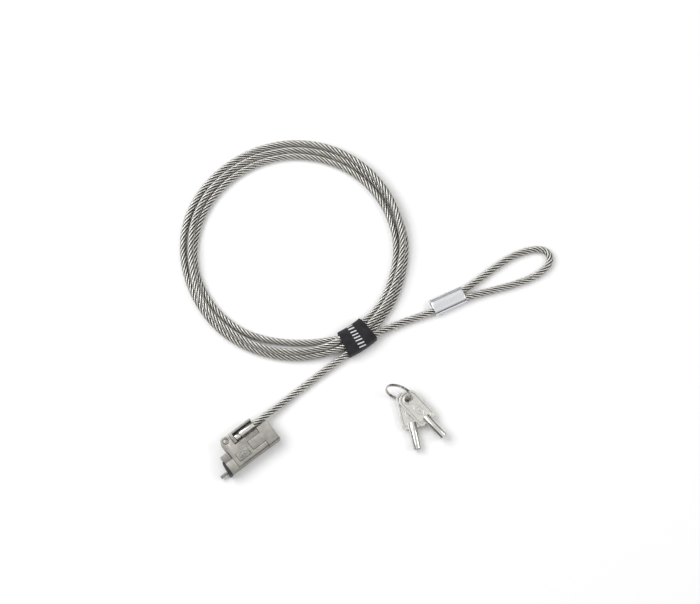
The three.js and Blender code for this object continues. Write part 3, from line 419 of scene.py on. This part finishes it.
def reckoned(nodes, links, operation, value, by=None):
    """A Math node on a value; by is a number or another value."""
    node = nodes.new("ShaderNodeMath")
    node.operation = operation
    links.new(value, node.inputs[0])
    if isinstance(by, (int, float)):
        node.inputs[1].default_value = by
    elif by is not None:
        links.new(by, node.inputs[1])
    return node.outputs[0]


def bumped(nodes, links, shader, height, strength, distance):
    """Relief on the shader; distance is its height in metres."""
    node = nodes.new("ShaderNodeBump")
    node.inputs["Strength"].default_value = strength
    node.inputs["Distance"].default_value = distance
    links.new(height, node.inputs["Height"])
    links.new(node.outputs["Normal"], shader.inputs["Normal"])


def metal(name, dark, light, rough, grain=(6000, 0.05), stretch=(1, 1, 1), coat=0.0):
    """Metal with patches of tone, uneven roughness and a fine grain: cast, drawn or plated by its numbers."""
    material, nodes, links, shader = new_material(name)
    shader.inputs["Metallic"].default_value = 1.0
    patches = spread(nodes, links, noise(nodes, links, 260, stretch), 0, 1)
    links.new(tinted(nodes, links, patches, dark, light), shader.inputs["Base Color"])
    links.new(spread(nodes, links, noise(nodes, links, 900, stretch), *rough), shader.inputs["Roughness"])
    scale, strength = grain
    bumped(nodes, links, shader, noise(nodes, links, scale, stretch, 4.0), strength, 0.00004)
    shader.inputs["Coat Weight"].default_value = coat
    shader.inputs["Coat Roughness"].default_value = 0.08
    return material


def rope_steel():
    """Bright drawn wire under a clear coat: the wires of each strand show as fine ridges along it.

    The UV map has the place round the strand, turned with the wires, and the millimetres along the rope. The
    colour holds painted shade in the grooves between the wires and where the strands meet, and painted light
    along each strand's outer side.
    """
    material, nodes, links, shader = new_material("rope_steel")
    shader.inputs["Metallic"].default_value = 1.0
    shader.inputs["Coat Weight"].default_value = 0.35
    shader.inputs["Coat Roughness"].default_value = 0.18
    uv = nodes.new("ShaderNodeUVMap")
    uv.uv_map = "strand"
    split = nodes.new("ShaderNodeSeparateXYZ")
    links.new(uv.outputs["UV"], split.inputs[0])
    each = reckoned(nodes, links, "MULTIPLY", split.outputs["X"], WIRES)
    saw = reckoned(nodes, links, "PINGPONG", each, 0.5)
    ridge = reckoned(nodes, links, "POWER", spread(nodes, links, saw, 0, 1, 0, 0.5), 0.6)
    patches = noise(nodes, links, 320)
    tone = tinted(nodes, links, spread(nodes, links, patches, 0, 1), (0.44, 0.43, 0.41), (0.60, 0.59, 0.565))
    # painted shade: the grooves between the wires are darkened in the colour
    wires = multiplied(nodes, links, tone, tinted(nodes, links, ridge, (0.25, 0.24, 0.22), (1, 1, 1)), 0.55)
    # painted shade where the strands meet, and painted light along their outer sides
    crown = tinted(nodes, links, strand_shade_mask(nodes, links, split), (0.30, 0.285, 0.25), (1.55, 1.55, 1.54))
    links.new(multiplied(nodes, links, wires, crown, 1.0), shader.inputs["Base Color"])
    links.new(spread(nodes, links, noise(nodes, links, 1500), 0.32, 0.44), shader.inputs["Roughness"])
    bumped(nodes, links, shader, ridge, 0.5, 0.00012)
    return material


def strand_shade_mask(nodes, links, split):
    """1 along the outer side of a strand and 0 where it lies against its neighbours: the mask for the painted
    light and shade across each strand.
    """
    back = reckoned(nodes, links, "MULTIPLY", split.outputs["Y"], -WIRE_TURN)
    around = reckoned(nodes, links, "ADD", split.outputs["X"], back)
    outwards = reckoned(nodes, links, "COSINE", reckoned(nodes, links, "MULTIPLY", around, 2 * math.pi))
    return spread(nodes, links, outwards, 0, 1, 0.15, 0.85)


def rope_gap_shade():
    """The core, painted near black as the shade in the gaps between the strands."""
    material, nodes, links, shader = new_material("rope_gap_shade")
    links.new(tinted(nodes, links, noise(nodes, links, 2500), (0.02, 0.018, 0.015), (0.06, 0.055, 0.045)),
              shader.inputs["Base Color"])
    shader.inputs["Roughness"].default_value = 0.7
    return material


def rubber_black():
    """Matt moulded rubber."""
    material, nodes, links, shader = new_material("rubber_black")
    patches = spread(nodes, links, noise(nodes, links, 700), 0, 1)
    links.new(tinted(nodes, links, patches, (0.010, 0.010, 0.011), (0.022, 0.022, 0.024)),
              shader.inputs["Base Color"])
    links.new(spread(nodes, links, noise(nodes, links, 1800), 0.45, 0.62), shader.inputs["Roughness"])
    bumped(nodes, links, shader, noise(nodes, links, 9000, detail=4.0), 0.25, 0.00006)
    return material


def strap_fabric():
    """Brushed hook-and-loop tape: a fine matt nap with a little sheen and paler rubbed patches."""
    material, nodes, links, shader = new_material("strap_fabric")
    weave = noise(nodes, links, 5200, (1, 1, 1), 5.0)
    patches = spread(nodes, links, noise(nodes, links, 240), 0, 1)
    tone = tinted(nodes, links, patches, (0.018, 0.018, 0.021), (0.032, 0.032, 0.036))
    nap = tinted(nodes, links, spread(nodes, links, weave, 0, 1), (0.55, 0.55, 0.55), (1.2, 1.2, 1.2))
    links.new(multiplied(nodes, links, tone, nap, 0.6), shader.inputs["Base Color"])
    shader.inputs["Roughness"].default_value = 0.92
    shader.inputs["Sheen Weight"].default_value = 0.15
    shader.inputs["Sheen Roughness"].default_value = 0.5
    shader.inputs["Specular IOR Level"].default_value = 0.25
    bumped(nodes, links, shader, weave, 0.6, 0.00012)
    return material


def strap_print():
    """White print on the tape, a little uneven."""
    material, nodes, links, shader = new_material("strap_print")
    links.new(tinted(nodes, links, spread(nodes, links, noise(nodes, links, 4000), 0, 1), (0.62, 0.62, 0.64),
                     (0.86, 0.86, 0.88)), shader.inputs["Base Color"])
    shader.inputs["Roughness"].default_value = 0.6
    return material


def make_materials():
    """Every material, by the name that the pieces below use."""
    return {
        "nickel": metal("satin_nickel", (0.295, 0.285, 0.262), (0.41, 0.395, 0.365), (0.34, 0.46),
                        (3000, 0.10)),
        # painted shade: a darker copy of the satin nickel, for the support foot, which sits lower and in
        # shade
        "nickel_dark": metal("shaded_nickel", (0.24, 0.235, 0.22), (0.31, 0.30, 0.28), (0.38, 0.5),
                             (3000, 0.12)),
        "bright_nickel": metal("bright_nickel", (0.66, 0.65, 0.62), (0.76, 0.75, 0.72), (0.16, 0.22),
                               (2500, 0.012)),
        "key_nickel": metal("key_nickel", (0.70, 0.69, 0.65), (0.80, 0.79, 0.75), (0.24, 0.32),
                            (2500, 0.015)),
        "steel": metal("hard_steel", (0.26, 0.25, 0.235), (0.36, 0.35, 0.33), (0.26, 0.40), (3000, 0.05)),
        "ring_steel": metal("ring_steel", (0.46, 0.45, 0.43), (0.58, 0.57, 0.55), (0.18, 0.28), (3000, 0.02)),
        # painted shadow: near-black metal for the thin lines along seams, rims and the key flute, where shade
        # falls
        "seam": metal("seam_shadow", (0.05, 0.05, 0.045), (0.09, 0.085, 0.08), (0.5, 0.6), (3000, 0.05)),
        "aluminium": metal("drawn_aluminium", (0.72, 0.73, 0.75), (0.84, 0.85, 0.87), (0.22, 0.30),
                           (2600, 0.03), (0.08, 1, 1)),
        "brass": metal("machined_brass", (0.62, 0.47, 0.20), (0.74, 0.60, 0.30), (0.2, 0.34), (5000, 0.06)),
        "rope_steel": rope_steel(),
        "rope_gap_shade": rope_gap_shade(),
        "rubber": rubber_black(),
        "fabric": strap_fabric(),
        "print": strap_print(),
    }


def paint(obj, *materials):
    """Gives the piece these materials, in place of any it has."""
    obj.data.materials.clear()
    for material in materials:
        obj.data.materials.append(material)


# ------------------------------------------------------------------ refined hard pieces
def refine(node, body, material, bevel_mm):
    """Puts in a CAD piece's place its own shape, with flat faces merged and edges softly rounded."""
    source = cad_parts[node]
    work = bmesh.new()
    work.from_mesh(source.data)
    bmesh.ops.remove_doubles(work, verts=work.verts, dist=1e-6)
    bmesh.ops.dissolve_limit(work, angle_limit=math.radians(1.0), verts=work.verts, edges=work.edges)
    mesh = bpy.data.meshes.new(node + "_fine")
    work.to_mesh(mesh)
    work.free()
    piece = bpy.data.objects.new(node + "_fine", mesh)
    bpy.context.collection.objects.link(piece)
    mesh.polygons.foreach_set("use_smooth", [True] * len(mesh.polygons))
    bevel = piece.modifiers.new("edges", "BEVEL")
    bevel.width = bevel_mm * MM
    bevel.segments = 3
    bevel.limit_method = "ANGLE"
    bevel.angle_limit = math.radians(32)
    bevel.use_clamp_overlap = True
    bevel.harden_normals = True
    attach(piece, body)
    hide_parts(node)
    paint(piece, material)


# Pieces that show: the CAD node, its body, its slot, its material and the width of its rounded edges.
HARD_PIECES = [
    ("front_housing", "lock_head", "nickel", "nickel", 0.16),
    ("rear_housing", "lock_head", "nickel", "nickel", 0.16),
    ("support_foot", "lock_head", "nickel_dark", "nickel_dark", 0.2),
    ("nose_pad", "lock_head", "rubber", "rubber", 0.3),
    ("hook", "lock_head", "steel", "steel", 0.12),
    ("hinge_rivet", "lock_head", "bright_nickel", "nickel", 0.18),
    ("face_ring", "lock_head", "bright_nickel", "bright_nickel", 0.15),
    ("swivel_arm", "arm", "nickel", "nickel", 0.25),
    ("swivel_stud", "cable", "bright_nickel", "bright_nickel", 0.2),
    ("cable_sleeve", "cable", "bright_nickel", "bright_nickel", 0.2),
    ("blocking_pin", "pin", "steel", "steel", 0.12),
    ("rotor", "core", "brass", "brass", 0.12),
    ("key_a_bow", "key_a", "bright_nickel", "key_nickel", 0.16),
    ("key_a_barrel", "key_a", "bright_nickel", "bright_nickel", 0.15),
    ("key_b_bow", "key_b", "bright_nickel", "key_nickel", 0.16),
    ("key_b_barrel", "key_b", "bright_nickel", "bright_nickel", 0.15),
    ("key_ring", "ring", "steel", "ring_steel", 0.18),
]
# Pieces inside the lock, which keep their CAD shape.
INNER_PIECES = [("cam_drum", "steel"), ("cross_pin_left", "steel"), ("cross_pin_right", "steel")]
for i in range(1, 5):
    INNER_PIECES += [(f"key_pin_{i}", "brass"), (f"driver_pin_{i}", "steel"), (f"pin_spring_{i}", "steel")]


# ------------------------------------------------------------------ strap
STRAP_MID_R = 81.0
STRAP_HALF_ANGLE = math.degrees(STRAP_W / 2 / STRAP_MID_R)
STRAP_EDGE = 0.93
STRAP_CROWN = 0.10


def strap_profile(line):
    """The outline, in radius and height, of a tape pulled tight round the cable's passes."""
    beyond_coil, slack, directions_count, step = 95, 0.06, 120, 0.5
    flat = line[:, :2] - COIL_CENTRE
    angle = np.degrees(np.arctan2(flat[:, 1], flat[:, 0])) - STRAP_AT
    angle = (angle + 180) % 360 - 180
    radius = np.hypot(flat[:, 0], flat[:, 1])
    inside = (np.abs(angle) < STRAP_HALF_ANGLE) & (radius < beyond_coil)
    centres = np.stack([radius[inside], line[inside, 2]], axis=1)
    turn = np.linspace(0, 2 * np.pi, directions_count, endpoint=False)
    directions = np.stack([np.cos(turn), np.sin(turn)], axis=1)
    reach = (centres @ directions.T).max(axis=0) + CABLE_R + slack
    corners = []
    for i in range(len(turn)):
        j = (i + 1) % len(turn)
        corners.append(np.linalg.solve(np.array([directions[i], directions[j]]), [reach[i], reach[j]]))
    ring = np.array(corners + corners[:1])
    return evenly(np.column_stack([ring, np.zeros(len(ring))]), step)[:-1, :2]


def ring_normals(ring):
    """The outward direction at each point of a closed ring."""
    along = np.roll(ring, -1, axis=0) - np.roll(ring, 1, axis=0)
    along /= np.linalg.norm(along, axis=1)[:, None]
    return np.column_stack([along[:, 1], -along[:, 0]])


def strap_place(radius, height, degrees):
    """A point of the strap in metres, by its degrees from the strap's middle."""
    x, y, z = on_coil(radius, STRAP_AT + degrees, height)
    return [x * MM, y * MM, z * MM]


def make_strap(line, materials):
    """The tape round the bundle, with rounded selvedges, and a row of plain printed bars along it.

    A column is a place across the tape, from -1 to 1, and a row is the ring of points that it makes.
    """
    inner = strap_profile(line)
    normals = ring_normals(inner)
    count = len(inner)
    columns = [-1.0, -0.985, -0.95, *np.linspace(-0.85, 0.85, 15), 0.95, 0.985, 1.0]
    vertices, faces, rows = [], [], []
    for outside in (True, False):
        for column in (columns if outside else columns[::-1]):
            drop = max(0.0, (abs(column) - STRAP_EDGE) / (1 - STRAP_EDGE)) ** 2 * 0.3 * STRAP_THICK
            thick = (STRAP_THICK - drop) if outside else drop
            puff = STRAP_CROWN * math.cos(column * math.pi / 2) if outside else 0.0
            rows.append(len(vertices))
            for (radius, height), (nr, nz) in zip(inner, normals):
                crown = puff * max(0.0, nz)
                z = max(0.05, height + nz * (thick + crown))
                vertices.append(strap_place(radius + nr * thick, z, column * STRAP_HALF_ANGLE))
    for a, b in zip(rows, rows[1:] + rows[:1]):
        for i in range(count):
            j = (i + 1) % count
            faces.append((a + i, a + j, b + j, b + i))
    strap = new_object("strap_tape", vertices, faces, "cable")
    outward(strap)
    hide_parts("coil_strap")
    paint(strap, materials["fabric"])
    return strap, make_print(inner, normals, materials)


PRINT_BARS = 8
PRINT_REACH = 0.22
PRINT_SLANT = 1.8
PRINT_LIFT = STRAP_THICK + 0.13


def make_print(inner, normals, materials):
    """A row of slanted bars printed along the top of the tape."""
    top = [i for i in range(len(inner)) if normals[i][1] > 0.25]
    top.sort(key=lambda i: inner[i][0])
    ring = inner[top]
    norm = normals[top]
    along = np.concatenate([[0], np.cumsum(np.linalg.norm(np.diff(ring, axis=0), axis=1))])
    vertices, faces = [], []
    pitch = (along[-1] - 1.0) / PRINT_BARS
    wide = pitch * 0.36
    across_steps, along_steps = 8, 3
    for bar in range(PRINT_BARS):
        start = 0.8 + bar * pitch
        base = len(vertices)
        for m in range(across_steps + 1):
            across = -PRINT_REACH + 2 * PRINT_REACH * m / across_steps
            for n in range(along_steps + 1):
                s = start + wide * n / along_steps + (across + PRINT_REACH) * PRINT_SLANT
                radius, height = np.interp(s, along, ring[:, 0]), np.interp(s, along, ring[:, 1])
                nr, nz = np.interp(s, along, norm[:, 0]), np.interp(s, along, norm[:, 1])
                vertices.append(strap_place(radius + nr * PRINT_LIFT, height + nz * PRINT_LIFT,
                                            across * STRAP_HALF_ANGLE))
        for m in range(across_steps):
            for n in range(along_steps):
                a = base + m * (along_steps + 1) + n
                faces.append((a, a + 1, a + along_steps + 2, a + along_steps + 1))
    bars = new_object("strap_print", vertices, faces, "cable")
    ink = bars.modifiers.new("ink", "SOLIDIFY")
    ink.thickness = 0.06 * MM
    ink.offset = 0
    paint(bars, materials["print"])
    return bars


# ------------------------------------------------------------------ crimped sleeve
SLEEVE_HALF_W, SLEEVE_HALF_H = 6.15, 3.5


def oval(half_w, half_h, power, samples):
    """Points of a squared-off ellipse, evenly spaced along it."""
    finely = 2000
    turn = np.linspace(0, 2 * np.pi, finely, endpoint=False)
    c, s = np.cos(turn), np.sin(turn)
    points = np.column_stack([half_w * np.sign(c) * np.abs(c) ** (2 / power),
                              half_h * np.sign(s) * np.abs(s) ** (2 / power), np.zeros(len(turn))])
    points = np.vstack([points, points[:1]])
    step = np.linalg.norm(np.diff(points, axis=0), axis=1).sum() / samples
    return evenly(points, step)[:samples, :2]


def make_sleeve(materials):
    """The sleeve pressed flat round both lengths of cable, with rolled ends and a double score line."""
    samples = 200
    outer = oval(SLEEVE_HALF_W, SLEEVE_HALF_H, 2.2, samples)
    inner = oval(SLEEVE_HALF_W - 0.8, SLEEVE_HALF_H - 0.84, 2.8, samples)
    score = np.zeros(samples)
    score_depth, score_w = 0.16, 0.11
    for place in (4.35, 4.95):
        score += score_depth * np.exp(-((outer[:, 0] - place) / score_w) ** 2) * (outer[:, 1] > 0)
    half = LOOP_SLEEVE_L / 2
    rolled, bore_l, middles = 0.4, 2.0, 12
    stations = [(-half, 0.32), (-half + 0.06, 0.14), (-half + 0.2, 0.04), (-half + rolled, 0.0)]
    stations += [(-half + rolled + 2 * (half - rolled) * i / middles, 0.0) for i in range(1, middles)]
    stations += [(-along, inset) for along, inset in stations[3::-1]]
    rings = [(-half + bore_l, inner), (-half, inner)]
    rings += [(along, outer * (1 - (inset + score[:, None]) / SLEEVE_HALF_H * 0.9))
              for along, inset in stations]
    rings += [(half, inner), (half - bore_l, inner)]
    vertices, faces = [], []
    for along, ring in rings:
        for across, height in ring:
            x, y, z = in_loop_sleeve(along, across, SLEEVE_Z + height)
            vertices.append((x * MM, y * MM, z * MM))
    for k in range(len(rings)):
        a, b = k * samples, (k + 1) % len(rings) * samples
        for i in range(samples):
            j = (i + 1) % samples
            faces.append((a + i, a + j, b + j, b + i))
    sleeve = new_object("sleeve_crimped", vertices, faces, "cable")
    outward(sleeve)
    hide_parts("loop_sleeve")
    paint(sleeve, materials["aluminium"])
    return sleeve


# ------------------------------------------------------------------ raised lines, and painted shadow along seams
# A rib's cross-section, as parts of its width and height. Its foot is a little below the surface.
RIB_SECTION = [(-0.5, -0.3), (-0.42, 0.5), (-0.2, 0.95), (0.2, 0.95), (0.42, 0.5), (0.5, -0.3)]


def lines(name, paths, place, width, height, body, material):
    """Low rounded ribs (or thin dark strips of painted shadow) that follow flat paths; place turns a path
    point into metres.
    """
    vertices, faces = [], []
    n = len(RIB_SECTION)
    for path, closed in paths:
        path = np.array(path, dtype=float)
        ahead = np.roll(path, -1, axis=0) - np.roll(path, 1, axis=0)
        if not closed:
            ahead[0], ahead[-1] = path[1] - path[0], path[-1] - path[-2]
        ahead /= np.linalg.norm(ahead, axis=1)[:, None]
        side = np.column_stack([-ahead[:, 1], ahead[:, 0]])
        start = len(vertices)
        for point, across in zip(path, side):
            for s, h in RIB_SECTION:
                x, y = point + across * s * width
                vertices.append(place(x, y, h * height))
        m = len(path)
        for i in range(m if closed else m - 1):
            a, b = start + i * n, start + (i + 1) % m * n
            for k in range(n):
                faces.append((a + k, a + (k + 1) % n, b + (k + 1) % n, b + k))
        if not closed:
            faces.append(tuple(start + k for k in range(n)))
            faces.append(tuple(start + (m - 1) * n + k for k in reversed(range(n))))
    obj = new_object(name, vertices, faces, body)
    outward(obj)
    paint(obj, material)
    return obj


def rounded_rectangle(x0, x1, y0, y1, radius):
    """The corners as arcs, anticlockwise."""
    points = []
    for cx, cy, first in ((x1 - radius, y1 - radius, 0), (x0 + radius, y1 - radius, 90),
                          (x0 + radius, y0 + radius, 180), (x1 - radius, y0 + radius, 270)):
        for i in range(7):
            angle = math.radians(first + 15 * i)
            points.append((cx + radius * math.cos(angle), cy + radius * math.sin(angle)))
    return points


def ellipse(cx, cy, a, b, samples=40):
    """Points of an ellipse, anticlockwise."""
    return [(cx + a * math.cos(t), cy + b * math.sin(t)) for t in np.linspace(0, 2 * math.pi, samples, False)]


# The lock head's raised panel, as x and y limits, and the heights of the surfaces that lines lie on.
BADGE = (-4.55, 5.05, -4.6, 1.6)
HEAD_TOP, BADGE_TOP, NOSE_TOP = 11.0, 11.25, 10.7
NOSE_SEAM_X = -7.68


def at_height(level):
    """Puts a flat path at this height."""
    return lambda x, y, z: (x * MM, y * MM, (level + z) * MM)


def two_bars(cx, cy, half_l, half_gap):
    """Two short straight lines, one above the other, as open paths."""
    return [([(cx - half_l, cy + side * half_gap), (cx + half_l, cy + side * half_gap)], False)
            for side in (-1, 1)]


def make_badge(materials):
    """The panel on the housing: a painted shadow line round it, a plain raised oval with two bars on it, a
    painted shadow line inside the oval, and one along the nose's seam.
    """
    x0, x1, y0, y1 = BADGE
    lines("badge_seam_shadow", [(rounded_rectangle(x0 - 0.1, x1 + 0.1, y0 - 0.1, y1 + 0.1, 0.25), True)],
          at_height(HEAD_TOP), 0.32, 0.03, "lock_head", materials["seam"])
    cx, cy = (x0 + x1) / 2, (y0 + y1) / 2
    motif = [(ellipse(cx, cy, 3.5, 2.1), True), *two_bars(cx, cy, 1.9, 0.55),
             (rounded_rectangle(x0 + 0.45, x1 - 0.45, y0 + 0.45, y1 - 0.45, 0.5), True)]
    lines("badge_relief", motif, at_height(BADGE_TOP), 0.36, 0.16, "lock_head", materials["nickel"])
    lines("badge_shade", [(ellipse(cx, cy, 3.2, 1.8), True)], at_height(BADGE_TOP), 0.16, 0.03, "lock_head",
          materials["seam"])
    lines("nose_seam_shadow", [([(NOSE_SEAM_X, -7.5), (NOSE_SEAM_X, 0.2)], False)], at_height(NOSE_TOP), 0.34, 0.05,
          "lock_head", materials["seam"])


# Each key's ring hole (x, y), the direction of its barrel in degrees, and the height of its middle.
# The sizes below are measured from the hole: along the key, across it and through it.
KEYS = {"key_a": (117.0, -41.3, -84.6, 6.0), "key_b": (115.75, -40.15, -114.9, 3.8)}
BOW_END, BOW_FOOT, BOW_HALF_W, BOW_HALF_T, BOW_RECESS = -6.0, 21.1, 7.1, 0.95, 0.35
HOLE_R, BARREL_END = 2.75, 36.3
OVAL_X, FLUTE_Y, BARREL_TOP = 10.4, -1.625, 2.45


def bezier(p, t):
    """The cubic Bezier value through four controls."""
    return sum(c * v for c, v in zip(((1 - t) ** 3, 3 * t * (1 - t) ** 2, 3 * t * t * (1 - t), t ** 3), p))


def bow_outline(inset):
    """The bow's edge, moved inwards: rounded corners at the barrel and a full round end at the hole."""
    end, foot, half = BOW_END + inset, BOW_FOOT - inset, BOW_HALF_W - inset
    corner, shoulder = 2.4, 5.2
    points = []
    for t in np.linspace(0, 1, 6):
        points.append((foot - corner * (1 - t) ** 2, -half + corner * t * t))
    for t in np.linspace(0, 1, 6):
        points.append((foot - corner * t * t, half - corner * (1 - t) ** 2))
    xs = (end + shoulder, end + shoulder * 0.3, end, end)
    for t in np.linspace(0, 1, 12):
        points.append((bezier(xs, t), bezier((half, half, half / 2, 0), t)))
    for t in np.linspace(0, 1, 12)[1:]:
        points.append((bezier(xs[::-1], t), bezier((0, -half / 2, -half, -half), t)))
    return points


def make_key_lines(name, materials):
    """On both faces of a bow: a rib inside the rim, a plain oval, and a painted shadow line below the rim; on
    the barrel, a painted shadow line along the flute.
    """
    x0, y0, turn, level = KEYS[name]
    c, s = math.cos(math.radians(turn)), math.sin(math.radians(turn))
    floor = BOW_HALF_T - BOW_RECESS

    def placed(base, sign):
        """Puts a flat path on one face of the key, this far from the key's middle."""
        return lambda x, y, z: ((x0 + x * c - y * s) * MM, (y0 + x * s + y * c) * MM,
                                (level + sign * (base + z)) * MM)

    for side, sign in (("top", 1), ("under", -1)):
        ribs = [(clip_hole(bow_outline(2.3)), False), (ellipse(OVAL_X, 0, 4.3, 2.5), True),
                *two_bars(OVAL_X, 0, 2.2, 0.6)]
        lines(f"{name}_ribs_{side}", ribs, placed(floor, sign), 0.42, 0.2, name,
              materials["key_nickel"])
        lines(f"{name}_rim_seam_shadow_{side}", [(bow_outline(1.52), True)], placed(floor, sign), 0.2, 0.03, name,
              materials["seam"])
        lines(f"{name}_hole_rib_{side}", [(ellipse(0, 0, HOLE_R + 0.45, HOLE_R + 0.45), True)],
              placed(BOW_HALF_T - 0.1, sign), 0.4, 0.14, name, materials["key_nickel"])
    flute = [(22.0, FLUTE_Y), (BARREL_END - 0.1, FLUTE_Y)]
    lines(f"{name}_flute_shade", [(flute, False)], placed(BARREL_TOP, 1), 0.48, 0.03, name,
          materials["seam"])


def clip_hole(outline, clear=1.5):
    """The part of an outline that stays clear of the ring hole, as an open path."""
    keep = [math.hypot(x, y) > HOLE_R + clear and x > clear for x, y in outline]
    start = next(i for i in range(len(outline)) if keep[i] and not keep[i - 1])
    turned = outline[start:] + outline[:start]
    return [p for p, k in zip(turned, keep[start:] + keep[:start]) if k]


# ------------------------------------------------------------------ the scene
make_camera()
make_studio()
bpy.context.scene.view_settings.view_transform = "Standard"

cable_line = evenly(settle(smooth_line(cable_points(), 2.5)), 1.25)
materials = make_materials()
cable = rope("cable_rope", cable_line, "cable")
paint(cable, materials["rope_steel"], materials["rope_gap_shade"])
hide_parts("cable_coil", "cable_tail_lock", "cable_tail_loop", "cable_loop")
strap, bars = make_strap(cable_line, materials)
for node, body, slot, finish, edge in HARD_PIECES:
    refine(node, body, materials[finish], edge)
for node, finish in INNER_PIECES:
    paint(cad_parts[node], materials[finish])
sleeve = make_sleeve(materials)
make_badge(materials)
for key in KEYS:
    make_key_lines(key, materials)
